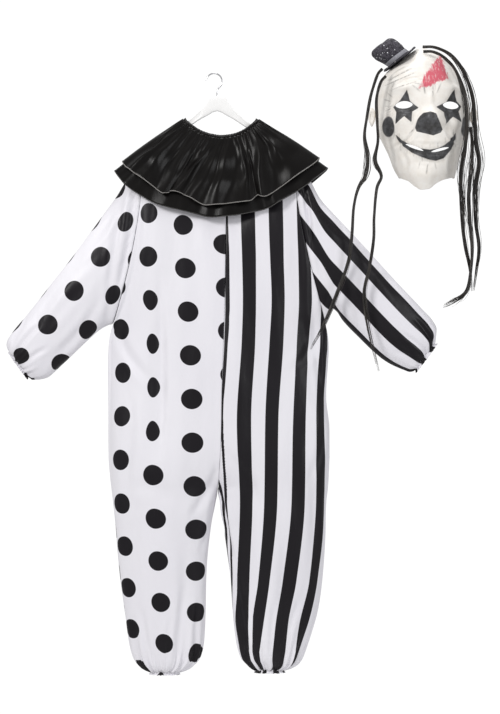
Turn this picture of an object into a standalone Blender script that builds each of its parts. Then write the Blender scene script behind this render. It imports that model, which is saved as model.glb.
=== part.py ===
"""Clown costume: a two-print jumpsuit with a ruffle collar on a hanger, and its mask.

Metres, +Z up. The front faces -Y and the hook's inner top is the origin, so the costume
hangs from there. Left and right are the viewer's, from the front.
"""
import math
from collections import namedtuple

import bmesh
import bpy
from mathutils import Vector

# ---------------------------------------------------------------- driving dimensions
CLOTH = 0.002                 # wall of the cloth panels
SEAM_GAP = 0.0003             # clear space between pieces that meet at a seam
CROTCH_Z = -1.118             # where the legs part
CROTCH_RISE = 0.16            # height over which the centre seam curves under
UNDERARM_Z = -0.675
SHOULDER_RADIUS = 0.011       # how tightly the cloth turns over the hanger's arm
SHOULDER_CLEAR = 0.0045       # cloth's outer face above the hanger's arm
NECK_DROP = 0.200             # jumpsuit's centre neckline below the hook
NECK_OPEN = 0.0125            # half depth of the jumpsuit's neckline
NECK_HALF_WIDTH = 0.096       # from the hanger's middle to where the shoulder seam starts
NECK_TURN = 0.022             # share of the shoulder over which the neckline rounds the arm
NECK_DIP = 0.002              # drop of the neckline over that share
NECK_CURVE = 2.4              # how late the neckline climbs to the hanger
FRONT_FALL = 0.30             # height over which the body opens to its full depth
HIP_Z = -0.72                 # below this the body's section starts to part into legs
CASING_LENGTH = 0.009         # elastic channel at a wrist or an ankle
PLACKET_SHARE = 0.40          # placket's half width as a share of the first column's
PLACKET_WALL = 0.0016

HANGER_X = 0.008              # middle of the hanger
HANGER_THICK = 0.0055         # half thickness of its arms
TIP_REACH = 0.187             # beyond this the arms thin to their tips
TIP_THIN = 0.6
HOOK_RADIUS = 0.0216          # centreline of the hook's round
WIRE_RADIUS = 0.002

MASK_WALL = 0.003
STRAP_WIDTH = 0.018
STRAP_WALL = 0.0015

Seam = namedtuple("Seam", "z x depth")
Section = namedtuple("Section", "z inner outer depth")
Ring = namedtuple("Ring", "upper_x upper_z lower_x lower_z depth")
Fold = namedtuple("Fold", "x_top x_low z_top z_low width depth")
Hem = namedtuple("Hem", "x z")
Arm = namedtuple("Arm", "reach top bottom")
Face = namedtuple("Face", "z left right depth")

# centre seam of the body, shared by the front and the back, with the body's half depth
CENTRE_SEAM = [
    Seam(-0.120, 0.0340, 0.048), Seam(-0.390, 0.0324, 0.052), Seam(-0.610, 0.0297, 0.058),
    Seam(-0.850, 0.0216, 0.063), Seam(-1.000, 0.0189, 0.062), Seam(-1.083, 0.0135, 0.058),
    Seam(-1.118, 0.0108, 0.056),
]

# below the underarm: the centre seam or inseam, the side seam and the half depth of the leg
DOT_SECTIONS = [
    Section(-0.675, 0.0282, -0.2722, 0.060), Section(-0.702, 0.0274, -0.2850, 0.060),
    Section(-0.780, 0.0244, -0.2862, 0.061), Section(-0.870, 0.0212, -0.2862, 0.062),
    Section(-0.958, 0.0198, -0.2862, 0.061), Section(-1.030, 0.0172, -0.2855, 0.060),
    Section(-1.085, 0.0135, -0.2815, 0.058), Section(-1.110, 0.0115, -0.2785, 0.057),
    Section(-1.118, 0.0104, -0.2775, 0.057), Section(-1.150, 0.0040, -0.2735, 0.056),
    Section(-1.188, -0.0027, -0.2690, 0.056), Section(-1.225, -0.0085, -0.2640, 0.055),
    Section(-1.290, -0.0165, -0.2585, 0.055), Section(-1.370, -0.0205, -0.2505, 0.054),
    Section(-1.450, -0.0218, -0.2400, 0.052), Section(-1.510, -0.0250, -0.2325, 0.050),
    Section(-1.550, -0.0300, -0.2250, 0.047), Section(-1.577, -0.0385, -0.2155, 0.043),
    Section(-1.596, -0.0545, -0.2015, 0.037), Section(-1.607, -0.0730, -0.1880, 0.030),
    Section(-1.6125, -0.0925, -0.1740, 0.023),
]
STRIPE_SECTIONS = [
    Section(-0.675, 0.0282, 0.3030, 0.060), Section(-0.702, 0.0274, 0.3070, 0.060),
    Section(-0.780, 0.0244, 0.3055, 0.061), Section(-0.870, 0.0212, 0.3030, 0.062),
    Section(-0.958, 0.0198, 0.3120, 0.061), Section(-1.030, 0.0172, 0.3125, 0.060),
    Section(-1.085, 0.0135, 0.3105, 0.058), Section(-1.110, 0.0115, 0.3090, 0.057),
    Section(-1.118, 0.0112, 0.3085, 0.057), Section(-1.150, 0.0145, 0.3045, 0.056),
    Section(-1.188, 0.0190, 0.3025, 0.056), Section(-1.225, 0.0275, 0.3022, 0.055),
    Section(-1.290, 0.0350, 0.2992, 0.055), Section(-1.370, 0.0450, 0.2925, 0.054),
    Section(-1.450, 0.0498, 0.2805, 0.052), Section(-1.510, 0.0565, 0.2630, 0.050),
    Section(-1.550, 0.0635, 0.2490, 0.047), Section(-1.577, 0.0730, 0.2375, 0.043),
    Section(-1.592, 0.0870, 0.2265, 0.037), Section(-1.602, 0.0985, 0.2110, 0.030),
    Section(-1.6075, 0.1090, 0.1915, 0.023),
]

# heights of the rows between the shoulder (0) and the underarm (1)
UPPER_ROWS = (0.0, 0.008, 0.026, 0.09, 0.21, 0.36, 0.52, 0.68, 0.83, 0.94)
# share of the way from the centre seam to the side, across a panel
PANEL_COLUMNS = (0.0, 0.09, 0.18, 0.27, 0.36, 0.45, 0.55, 0.65, 0.76, 0.88, 1.0)
COLUMN_SETTLE = 0.10          # columns leave the neck's corner over this share of the panel

# sleeves, ring by ring from the armhole to the wrist
DOT_RINGS = [
    Ring(-0.1860, -0.2040, -0.2722, -0.6750, 0.042), Ring(-0.2160, -0.2600, -0.2900, -0.6830, 0.046),
    Ring(-0.2530, -0.3260, -0.3080, -0.6950, 0.049), Ring(-0.2943, -0.3807, -0.3295, -0.7150, 0.050),
    Ring(-0.3350, -0.4335, -0.3510, -0.7350, 0.050), Ring(-0.3780, -0.4890, -0.3710, -0.7540, 0.049),
    Ring(-0.4240, -0.5480, -0.3920, -0.7740, 0.048), Ring(-0.4670, -0.6035, -0.4120, -0.7910, 0.047),
    Ring(-0.5050, -0.6520, -0.4310, -0.8080, 0.045), Ring(-0.5400, -0.6970, -0.4500, -0.8215, 0.042),
    Ring(-0.5545, -0.7210, -0.4710, -0.8260, 0.037), Ring(-0.5570, -0.7360, -0.4870, -0.8265, 0.030),
    Ring(-0.5480, -0.7480, -0.4975, -0.8180, 0.022),
]
STRIPE_RINGS = [
    Ring(0.2030, -0.2040, 0.3030, -0.6750, 0.042), Ring(0.2470, -0.2700, 0.3190, -0.6280, 0.046),
    Ring(0.2860, -0.3390, 0.3350, -0.6380, 0.049), Ring(0.3190, -0.3765, 0.3510, -0.6610, 0.050),
    Ring(0.3560, -0.4160, 0.3700, -0.6830, 0.050), Ring(0.3970, -0.4590, 0.3915, -0.7060, 0.049),
    Ring(0.4370, -0.5020, 0.4130, -0.7290, 0.048), Ring(0.4780, -0.5470, 0.4350, -0.7510, 0.047),
    Ring(0.5180, -0.5910, 0.4580, -0.7710, 0.045), Ring(0.5560, -0.6330, 0.4830, -0.7870, 0.042),
    Ring(0.5860, -0.6670, 0.5080, -0.7985, 0.037), Ring(0.5985, -0.6930, 0.5260, -0.8035, 0.030),
    Ring(0.5950, -0.7245, 0.5395, -0.8000, 0.022),
]
ARMHOLE_BOW = {"dot": 0.018, "stripe": -0.011}   # how far the armhole curves into the body
ANKLE_SEGMENTS = 20
SLEEVE_FULLNESS = 0.85                           # below 1, the tube is fuller than an ellipse

# the largest folds: soft troughs down the body and legs
DOT_FOLDS = [
    Fold(-0.140, -0.150, -0.52, -1.04, 0.024, 0.012), Fold(-0.235, -0.215, -0.95, -1.50, 0.026, 0.008),
    Fold(-0.070, -0.085, -1.20, -1.62, 0.022, 0.009),
]
STRIPE_FOLDS = [
    Fold(0.235, 0.275, -0.42, -0.92, 0.024, 0.012), Fold(0.090, 0.075, -1.02, -1.40, 0.024, 0.010),
    Fold(0.200, 0.165, -1.22, -1.62, 0.024, 0.009),
]

# collar: the neck edge and the two hems, from the left corner to the right corner
NECK_EDGE = [
    Hem(-0.0765, -0.1245), Hem(-0.0600, -0.1370), Hem(-0.0330, -0.1540), Hem(-0.0060, -0.1630),
    Hem(0.0190, -0.1665), Hem(0.0440, -0.1640), Hem(0.0700, -0.1560), Hem(0.0950, -0.1405),
    Hem(0.1130, -0.1260),
]
UPPER_HEM = [
    Hem(-0.2470, -0.2440), Hem(-0.2030, -0.2830), Hem(-0.1380, -0.3220), Hem(-0.0780, -0.3290),
    Hem(-0.0050, -0.3560), Hem(0.0700, -0.3470), Hem(0.1450, -0.3290), Hem(0.2200, -0.2790),
    Hem(0.2855, -0.2335),
]
LOWER_HEM = [
    Hem(-0.2680, -0.2640), Hem(-0.2250, -0.3090), Hem(-0.1500, -0.3520), Hem(-0.0700, -0.3730),
    Hem(0.0000, -0.3865), Hem(0.0800, -0.3790), Hem(0.1600, -0.3550), Hem(0.2420, -0.3040),
    Hem(0.3080, -0.2550),
]
COLLAR_SEGMENTS = 44          # around the neck, front and back
COLLAR_ROWS = (0.055, 0.16, 0.40, 0.70, 1.0)
COLLAR_FOLDS = 11             # large flutes around the collar
COLLAR_FLUTE = 0.0055         # their depth at the hem
BELLY_NECK = 0.020            # half depth of the collar at the neck
BELLY_GROWTH = 0.045          # and how much deeper it is at the hem
RIDGE_RISE = 0.004            # height of the cloth's turn over the shoulder
BAND_ROWS = (0.0, 0.048)      # elastic neck channel, as shares of the way to the hem
BAND_WALL = 0.003
RUFFLE_WALL = 0.0015

# hanger: half width from its middle, top and underside of the body and arms
ARMS = [
    Arm(0.000, -0.0595, -0.1000), Arm(0.012, -0.0595, -0.1035), Arm(0.021, -0.0605, -0.1090),
    Arm(0.029, -0.0740, -0.1135), Arm(0.044, -0.0935, -0.1215), Arm(0.060, -0.1095, -0.1320),
    Arm(0.080, -0.1270, -0.1455), Arm(0.120, -0.1550, -0.1720), Arm(0.160, -0.1825, -0.1980),
    Arm(0.184, -0.2000, -0.2150), Arm(0.190, -0.2065, -0.2150),
]

# mask: half-open face, section by section from the crown to the chin flap
MASK_FACES = [
    Face(0.0700, 0.5480, 0.5710, 0.018), Face(0.0580, 0.5310, 0.6020, 0.042),
    Face(0.0350, 0.5020, 0.6340, 0.070), Face(-0.0050, 0.4580, 0.6600, 0.092),
    Face(-0.0450, 0.4430, 0.6780, 0.100), Face(-0.0850, 0.4390, 0.6880, 0.102),
    Face(-0.1200, 0.4370, 0.6900, 0.103), Face(-0.1500, 0.4400, 0.6860, 0.102),
    Face(-0.1850, 0.4560, 0.6760, 0.098), Face(-0.2200, 0.4730, 0.6660, 0.092),
    Face(-0.2550, 0.4860, 0.6570, 0.082), Face(-0.2800, 0.5000, 0.6510, 0.068),
]
CHIN_FLAP = [0.0, 0.0, 0.002, 0.006, 0.012, 0.026, 0.036, 0.034, 0.020, 0.010, 0.005, 0.002, 0.0, 0.0, 0.0]
NOSE = (0.583, -0.128, 0.036, 0.032)             # x, z, radius, height
EYES = ((0.5145, -0.0850), (0.6390, -0.0865))
EYE_HOLE = (0.026, 0.0105)                       # half width, half height
MOUTH_SLITS = ((0.5290, -0.1960, -24.0), (0.6110, -0.1960, 24.0))
SLIT = (0.026, 0.0040)
EARS = ((0.4265, -0.1150, 0.010), (0.7030, -0.1160, 0.011))   # x, z, half width
EAR_HALF_HEIGHT = 0.026
EAR_HALF_DEPTH = 0.006
EAR_Y = 0.012
STRAP_ENDS = (0.4600, 0.6680)
STRAP_FOOT = (0.032, -0.1450)                    # y and z where the strap leaves the mask's edges
STRAP_SAG = 0.030                                # how far it hangs back and down in the middle

HAT_FOOT = Vector((0.5020, -0.008, 0.0366))
HAT_LEAN = math.radians(-38.0)
BRIM_RADIUS = 0.053
CROWN_FOOT = 0.032
CROWN_TOP = 0.038
CROWN_HEIGHT = 0.066
BRIM_THICK = 0.003
CROWN_START = BRIM_THICK + SEAM_GAP
HAT_SEGMENTS = 20
CROWN_SKEW = 0.30             # how far the crown slumps sideways as it rises
BAND_START = 0.001            # ribbon's foot and top above the crown's foot
BAND_END = 0.013
BAND_PROUD = 0.0028
BAND_GAP = 0.0013
BAND_FLARE = 0.0004

HAIR_RADIUS = 0.0030
HAIR = {
    "hair_left_outer": [
        (0.4500, -0.075, 0.0040), (0.4370, -0.080, -0.0120), (0.4210, -0.080, -0.0600),
        (0.4080, -0.076, -0.1300), (0.4030, -0.072, -0.1750), (0.4110, -0.070, -0.2350),
        (0.4050, -0.070, -0.2800), (0.3870, -0.070, -0.3100), (0.3740, -0.070, -0.3620),
        (0.3690, -0.070, -0.4400), (0.3590, -0.070, -0.5120), (0.3330, -0.070, -0.5850),
        (0.2940, -0.074, -0.6780), (0.2580, -0.076, -0.7430),
    ],
    "hair_left_inner": [
        (0.4590, -0.082, -0.0160), (0.4450, -0.086, -0.0330), (0.4340, -0.088, -0.0750),
        (0.4360, -0.084, -0.1400), (0.4380, -0.078, -0.1900), (0.4300, -0.074, -0.2400),
        (0.4470, -0.072, -0.2800), (0.4350, -0.072, -0.3150), (0.4280, -0.072, -0.3900),
        (0.4270, -0.072, -0.4500), (0.4160, -0.072, -0.5250), (0.4020, -0.072, -0.5950),
        (0.4120, -0.072, -0.6800), (0.4400, -0.072, -0.8020),
    ],
    "hair_right_outer": [
        (0.5610, -0.036, 0.0690), (0.5920, -0.046, 0.0660), (0.6290, -0.052, 0.0480),
        (0.6560, -0.060, 0.0180), (0.6780, -0.064, -0.0250), (0.6920, -0.066, -0.0750),
        (0.6960, -0.068, -0.1300), (0.7000, -0.066, -0.1850), (0.7090, -0.060, -0.2450),
        (0.7000, -0.052, -0.3200), (0.7020, -0.048, -0.4000), (0.7110, -0.048, -0.4700),
        (0.7040, -0.048, -0.5300), (0.6960, -0.048, -0.5860),
    ],
    "hair_right_inner": [
        (0.5610, -0.062, 0.0530), (0.5860, -0.074, 0.0500), (0.6140, -0.082, 0.0340),
        (0.6410, -0.086, 0.0050), (0.6590, -0.088, -0.0350), (0.6700, -0.090, -0.0850),
        (0.6740, -0.090, -0.1400), (0.6690, -0.084, -0.2050), (0.6600, -0.072, -0.2650),
        (0.6610, -0.064, -0.3300), (0.6660, -0.058, -0.4100), (0.6740, -0.056, -0.4700),
        (0.6860, -0.056, -0.5300), (0.6900, -0.056, -0.5880),
    ],
    "hair_right_tail": [
        (0.6860, -0.074, -0.1500), (0.6900, -0.072, -0.2000), (0.6880, -0.068, -0.2600),
        (0.6810, -0.066, -0.3300), (0.6840, -0.064, -0.4000), (0.6900, -0.064, -0.4700),
        (0.6860, -0.066, -0.5400), (0.6740, -0.068, -0.5900), (0.6410, -0.070, -0.6150),
        (0.6120, -0.070, -0.6300),
    ],
}

FINISHES = {                  # colour, roughness, metallic
    "dot satin": ((0.88, 0.87, 0.90), 0.42, 0.0), "stripe satin": ((0.55, 0.54, 0.57), 0.42, 0.0),
    "black satin": ((0.012, 0.011, 0.010), 0.30, 0.0), "white plastic": ((0.86, 0.86, 0.85), 0.35, 0.0),
    "chrome wire": ((0.75, 0.75, 0.76), 0.15, 1.0), "latex": ((0.80, 0.76, 0.68), 0.50, 0.0),
    "glitter felt": ((0.05, 0.045, 0.055), 0.60, 0.0), "silver ribbon": ((0.50, 0.50, 0.55), 0.35, 0.3),
    "black hair": ((0.015, 0.014, 0.013), 0.40, 0.0), "elastic": ((0.02, 0.02, 0.02), 0.80, 0.0),
}


# ---------------------------------------------------------------- reading tables
def clamp(value, low=0.0, high=1.0):
    return max(low, min(high, value))


def ease(value):
    """Smooth step from 0 to 1."""
    value = clamp(value)
    return value * value * (3.0 - 2.0 * value)


def read(keys, values, key):
    """Smooth value at key through a table whose keys rise, with no overshoot."""
    if key <= keys[0]:
        return values[0]
    if key >= keys[-1]:
        return values[-1]
    slopes = [(b - a) / (q - p) for a, b, p, q in zip(values, values[1:], keys, keys[1:])]
    at = max(i for i in range(len(keys) - 1) if keys[i] <= key)

    def slope(i):
        if i == 0 or i == len(keys) - 1:
            return slopes[min(i, len(slopes) - 1)]
        before, after = slopes[i - 1], slopes[i]
        if before * after <= 0.0:
            return 0.0
        return 2.0 * before * after / (before + after)

    span = keys[at + 1] - keys[at]
    t = (key - keys[at]) / span
    rise = values[at + 1] - values[at]
    start, end = slope(at) * span, slope(at + 1) * span
    return values[at] + t * (start + t * (3.0 * rise - 2.0 * start - end + t * (start + end - 2.0 * rise)))


def read_down(rows, column, z):
    """Value of a column at height z, in a table listed from the top down."""
    keys = [-row.z for row in rows]
    values = [getattr(row, column) for row in rows]
    return read(keys, values, -z)


def read_along(rows, column, share):
    """Value of a column at a share (0 to 1) along a table's rows."""
    keys = [i / (len(rows) - 1) for i in range(len(rows))]
    return read(keys, [getattr(row, column) for row in rows], share)


# ---------------------------------------------------------------- making objects
def collection(name):
    made = bpy.data.collections.new(name)
    bpy.context.scene.collection.children.link(made)
    return made


def finish_material(name):
    found = bpy.data.materials.get(name)
    if found:
        return found
    colour, roughness, metallic = FINISHES[name]
    made = bpy.data.materials.new(name)
    made.use_nodes = True
    shader = made.node_tree.nodes["Principled BSDF"]
    shader.inputs["Base Color"].default_value = (*colour, 1.0)
    shader.inputs["Roughness"].default_value = roughness
    shader.inputs["Metallic"].default_value = metallic
    made.diffuse_color = (*colour, 1.0)
    return made


def add_object(name, data, finish, group):
    made = bpy.data.objects.new(name, data)
    data.materials.append(finish_material(finish))
    group.objects.link(made)
    return made


def add_mesh(name, bm, finish, group):
    bmesh.ops.recalc_face_normals(bm, faces=bm.faces)
    mesh = bpy.data.meshes.new(name)
    bm.to_mesh(mesh)
    bm.free()
    mesh.shade_smooth()
    mesh.set_sharp_from_angle(angle=math.radians(50.0))
    return add_object(name, mesh, finish, group)


def loft_wall(name, outer, inner, finish, group, closed=False):
    """Closed wall between two grids of points, given row by row; closed joins the columns."""
    bm = bmesh.new()
    grids = [[[bm.verts.new(point) for point in row] for row in grid] for grid in (outer, inner)]
    row_count = len(outer)
    column_count = len(outer[0])
    spans = column_count if closed else column_count - 1
    for grid in grids:
        for i in range(row_count - 1):
            for j in range(spans):
                k = (j + 1) % column_count
                bm.faces.new((grid[i][j], grid[i][k], grid[i + 1][k], grid[i + 1][j]))
    face, lining = grids
    for i in (0, row_count - 1):
        for j in range(spans):
            k = (j + 1) % column_count
            bm.faces.new((face[i][j], face[i][k], lining[i][k], lining[i][j]))
    if not closed:
        for j in (0, column_count - 1):
            for i in range(row_count - 1):
                bm.faces.new((face[i][j], face[i + 1][j], lining[i + 1][j], lining[i][j]))
    return add_mesh(name, bm, finish, group)


def loft_solid(name, rings, finish, group):
    """Closed solid through rings of points, capped at both ends."""
    bm = bmesh.new()
    loops = [[bm.verts.new(point) for point in ring] for ring in rings]
    count = len(loops[0])
    for one, two in zip(loops, loops[1:]):
        for j in range(count):
            k = (j + 1) % count
            bm.faces.new((one[j], one[k], two[k], two[j]))
    bm.faces.new(loops[0])
    bm.faces.new(loops[-1])
    return add_mesh(name, bm, finish, group)


def surface_normal(surface, u, v, outward):
    """Unit normal of surface(u, v) on the side of the outward vector."""
    step = 0.0015
    along = surface(min(u + step, 1.0), v) - surface(max(u - step, 0.0), v)
    down = surface(u, min(v + step, 1.0)) - surface(u, max(v - step, 0.0))
    normal = along.cross(down).normalized()
    return normal if normal.dot(outward) > 0.0 else -normal


def wall_grids(surface, columns, vs, thickness, normal_at):
    """Outer and inner points of a wall on surface(u, v), for the columns(v) of each row."""
    outer, inner = [], []
    for v in vs:
        points = [surface(u, v) for u in columns(v)]
        normals = [normal_at(u, v, point) for u, point in zip(columns(v), points)]
        outer.append(points)
        inner.append([point - normal * thickness for point, normal in zip(points, normals)])
    return outer, inner


# ---------------------------------------------------------------- jumpsuit
def hanger_top(x):
    """Top of the hanger's arm at x."""
    return read([row.reach for row in ARMS], [row.top for row in ARMS], abs(x - HANGER_X))


class Half:
    """One half of the jumpsuit, dotted or striped: its front, back and sleeve forms."""

    def __init__(self, name, way, sections, rings, folds):
        self.name = name
        self.way = way                       # -1 to the left, +1 to the right
        self.sections = sections
        self.rings = rings
        self.folds = folds
        self.shoulder = rings[0]
        self.centre_top = read_down(CENTRE_SEAM, "x", -NECK_DROP)
        self.reach = self.shoulder.upper_x - self.centre_top
        self.neck_x = HANGER_X + way * NECK_HALF_WIDTH
        self.neck_share = (self.neck_x - self.centre_top) / self.reach
        self.bow = ARMHOLE_BOW[name]
        self.mid_z = (self.shoulder.upper_z + self.shoulder.lower_z) / 2
        self.half_z = (self.shoulder.upper_z - self.shoulder.lower_z) / 2

    def armhole(self, angle):
        """Point of the armhole; angle 0 is the shoulder, a half turn the underarm, front first."""
        ring = self.shoulder
        mid_x = (ring.upper_x + ring.lower_x) / 2
        half_x = (ring.upper_x - ring.lower_x) / 2
        turn = math.sin(angle)
        x = mid_x + half_x * math.cos(angle) + self.bow * turn * turn
        y = -ring.depth * math.copysign(abs(turn) ** SLEEVE_FULLNESS, turn)
        return Vector((x, y, self.mid_z + self.half_z * math.cos(angle)))

    def armhole_normal(self, angle):
        """Outward direction in the armhole's own ring, shared by the panel and the sleeve."""
        ring = self.shoulder
        return Vector((0.0, -math.sin(angle) / ring.depth, math.cos(angle) / self.half_z)).normalized()

    def armhole_angle(self, z):
        return math.acos(clamp((z - self.mid_z) / self.half_z, -1.0, 1.0))

    def top_edge(self, share):
        """Height of the neckline and shoulder at a share of the way to the shoulder's tip."""
        turn_share = self.neck_share - NECK_TURN
        neck_z = hanger_top(self.neck_x) + SHOULDER_CLEAR
        if share < turn_share:
            return -NECK_DROP + (neck_z - NECK_DIP + NECK_DROP) * (share / turn_share) ** NECK_CURVE
        if share < self.neck_share:
            return neck_z - NECK_DIP * (self.neck_share - share) / NECK_TURN
        x = self.centre_top + self.reach * share
        tip_z = hanger_top(self.shoulder.upper_x) + SHOULDER_CLEAR
        return hanger_top(x) + SHOULDER_CLEAR + (self.shoulder.upper_z - tip_z) * share ** 8

    def neck_half_depth(self, share):
        """Half depth of the neckline, which rounds the hanger's arm before it meets the shoulder."""
        return NECK_OPEN * clamp((self.neck_share - share) / NECK_TURN)

    def fold_depth(self, x, z):
        """How far the largest folds sink the cloth here."""
        sink = 0.0
        for fold in self.folds:
            down = (fold.z_top - z) / (fold.z_top - fold.z_low)
            if 0.0 < down < 1.0:
                line = fold.x_top + (fold.x_low - fold.x_top) * down
                reach = math.sin(math.pi * down) ** 0.7
                sink += fold.depth * reach * math.exp(-((x - line) / fold.width) ** 2)
        return sink

    def upper(self, share, down):
        """Body between shoulder (down 0) and underarm (1): x, half depth and z."""
        opening = 0.5 + 0.5 * down ** 6
        swing = opening * math.pi / 2
        across = math.sin(share * swing) / math.sin(swing)
        bend = (math.cos(share * swing) - math.cos(swing)) / (1.0 - math.cos(swing))
        top = self.top_edge(across)
        z = top + (UNDERARM_Z - top) * down
        side_z = self.shoulder.upper_z + (UNDERARM_Z - self.shoulder.upper_z) * down
        edge = self.armhole(self.armhole_angle(side_z))
        centre = read_down(CENTRE_SEAM, "x", z)
        x = centre + (edge.x - centre) * across
        fall = top - z
        turn = clamp(fall / SHOULDER_RADIUS)
        over_arm = SHOULDER_RADIUS * math.sqrt(1.0 - (1.0 - turn) ** 2)
        over_arm = max(over_arm, self.neck_half_depth(across))
        opened = read_down(CENTRE_SEAM, "depth", z) * ease(fall / FRONT_FALL)
        depth = math.hypot(over_arm, opened)
        depth = abs(edge.y) + (depth - abs(edge.y)) * bend
        return x, depth - self.fold_depth(x, z) * bend, z

    def lower(self, share, z):
        """Body and leg below the underarm: x, half depth and z."""
        inner = read_down(self.sections, "inner", z)
        outer = read_down(self.sections, "outer", z)
        body = read_down(CENTRE_SEAM, "depth", z)
        leg = read_down(self.sections, "depth", z)
        rise = clamp((z - CROTCH_Z) / CROTCH_RISE)
        joined = math.sqrt(rise * (2.0 - rise))
        parted = ease((HIP_Z - z) / (HIP_Z - CROTCH_Z))
        turn = share * math.pi / 2
        level = 1.0 - parted + 0.25 * parted * joined
        across = level * math.sin(turn) + (1.0 - level) * math.sin(turn) ** 2
        legs = math.hypot(joined * math.cos(turn) ** 2, math.sin(2.0 * turn))
        depth = (1.0 - parted) * body * math.cos(turn) + parted * leg * legs
        x = inner + (outer - inner) * across
        return x, depth - self.fold_depth(x, z) * math.sin(2.0 * turn), z

    def panel(self, face):
        """Surface of a panel, front (-1) or back (+1); v is 0 at the shoulder, 0.5 at the underarm."""
        lowest = self.sections[-1].z

        def surface(u, v):
            if v < 0.5:
                x, depth, z = self.upper(u, v / 0.5)
            else:
                x, depth, z = self.lower(u, UNDERARM_Z + (lowest - UNDERARM_Z) * (v - 0.5) / 0.5)
            return Vector((x + self.way * SEAM_GAP / 2, face * (depth + SEAM_GAP / 2), z))

        return surface

    def panel_rows(self):
        lowest = self.sections[-1].z
        upper = [row * 0.5 for row in UPPER_ROWS]
        return upper + [0.5 + 0.5 * (UNDERARM_Z - row.z) / (UNDERARM_Z - lowest) for row in self.sections]

    def panel_columns(self, v):
        """Columns across a panel: at the top, two of them sit at the corner of the neck."""
        swing = math.pi / 4
        corner = [math.asin(share * math.sin(swing)) / swing
                  for share in (self.neck_share - NECK_TURN, self.neck_share)]
        columns = list(PANEL_COLUMNS)
        first = min(range(1, len(columns) - 2), key=lambda j: abs(columns[j] - corner[0]))
        hold = 1.0 - ease(v / COLUMN_SETTLE)
        for j, place in zip((first, first + 1), corner):
            columns[j] += (place - columns[j]) * hold
        return columns

    def build_panel(self, face, name, finish, group):
        surface = self.panel(face)

        def normal_at(u, v, point):
            if u >= 1.0 and v < 0.5:
                z = self.shoulder.upper_z + (UNDERARM_Z - self.shoulder.upper_z) * v / 0.5
                normal = self.armhole_normal(self.armhole_angle(z))
                return Vector((normal.x, -face * normal.y, normal.z))
            outward = Vector((point.x - self.shoulder.upper_x * 0.6, face * (0.02 + 3.0 * abs(point.y)), 0.0))
            if v <= 0.0 and abs(point.y) < CLOTH:
                outward = Vector((0.0, 0.0, 1.0))
            normal = surface_normal(surface, u, v, outward)
            if abs(point.y) < CLOTH and (v <= 0.0 or normal.y * face < 0.0):
                normal.y = 0.0
                normal.normalize()
            return normal

        grids = wall_grids(surface, self.panel_columns, self.panel_rows(), CLOTH, normal_at)
        return loft_wall(name, *grids, finish, group)

    def sleeve_point(self, u, v):
        """Sleeve surface: u runs round from the top edge by the front, v from armhole to wrist."""
        angle = 2.0 * math.pi * u
        if v <= 0.0:
            return self.armhole(angle)
        ux, uz, lx, lz, depth = (read_along(self.rings, column, v) for column in Ring._fields)
        turn = math.sin(angle)
        side = math.cos(angle)
        bow = self.bow * turn * turn * (1.0 - ease(v * 4.0))
        x = (ux + lx) / 2 + (ux - lx) / 2 * side + bow
        y = -depth * math.copysign(abs(turn) ** SLEEVE_FULLNESS, turn)
        return Vector((x, y, (uz + lz) / 2 + (uz - lz) / 2 * side))

    def build_sleeve(self, name, finish, group):
        """Tube from the armhole to the wrist, a seam's gap clear of the panels."""
        rows = [i / (len(self.rings) - 1) for i in range(len(self.rings))]
        outer, inner = [], []
        for v in rows:
            outer_row, inner_row = [], []
            middle = (self.sleeve_point(0.0, v) + self.sleeve_point(0.5, v)) / 2
            for u in sleeve_columns():
                point = self.sleeve_point(u, v)
                normal = self.armhole_normal(2.0 * math.pi * u)
                if v > 0.0:
                    along = self.sleeve_point(u + 0.004, v) - self.sleeve_point(u - 0.004, v)
                    down = self.sleeve_point(u, min(v + 0.02, 1.0)) - self.sleeve_point(u, v - 0.02)
                    normal = along.cross(down).normalized()
                    if normal.dot(point - middle) < 0.0:
                        normal = -normal
                outer_row.append(point + self.sleeve_shift())
                inner_row.append(point + self.sleeve_shift() - normal * CLOTH)
            outer.append(outer_row)
            inner.append(inner_row)
        return loft_wall(name, outer, inner, finish, group, closed=True)

    def sleeve_shift(self):
        """The seam's gap between the armhole and the sleeve."""
        return Vector((self.way * 0.8, 0.0, -0.6)) * SEAM_GAP * 1.6


def sleeve_columns():
    """Turns round a sleeve: the rows of a panel's armhole, down the front and up the back."""
    front = [math.acos(1.0 - 2.0 * row) / (2.0 * math.pi) for row in (*UPPER_ROWS, 1.0)]
    return front + [1.0 - u for u in reversed(front[1:-1])]


def build_casing(name, points, along, finish, group):
    """Short elastic channel that goes on from a tube's open end, a seam's gap further on."""
    middle = sum(points, Vector()) / len(points)
    start = along.normalized() * SEAM_GAP * 2
    reach = along.normalized() * CASING_LENGTH
    shrink = CLOTH + 0.0012
    outer = [[p + start for p in points], [p + start + reach for p in points]]
    inner = [[p + (middle - p).normalized() * shrink for p in row] for row in outer]
    return loft_wall(name, outer, inner, finish, group, closed=True)


def sleeve_end(half):
    points = [half.sleeve_point(u, 1.0) + half.sleeve_shift() for u in sleeve_columns()]
    ring = half.rings[-1]
    across = Vector((ring.upper_x - ring.lower_x, 0.0, ring.upper_z - ring.lower_z))
    along = Vector((-across.z * half.way, 0.0, across.x * half.way))
    if along.z > 0.0:
        along = -along
    return points, along


def leg_end(half):
    row = half.sections[-1]
    middle = (row.inner + row.outer) / 2
    points = []
    for j in range(ANKLE_SEGMENTS):
        angle = 2.0 * math.pi * j / ANKLE_SEGMENTS
        x = middle + (row.outer - row.inner) / 2 * math.cos(angle)
        points.append(Vector((x, row.depth * math.sin(angle), row.z)))
    return points, Vector((0.0, 0.0, -1.0))


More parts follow.
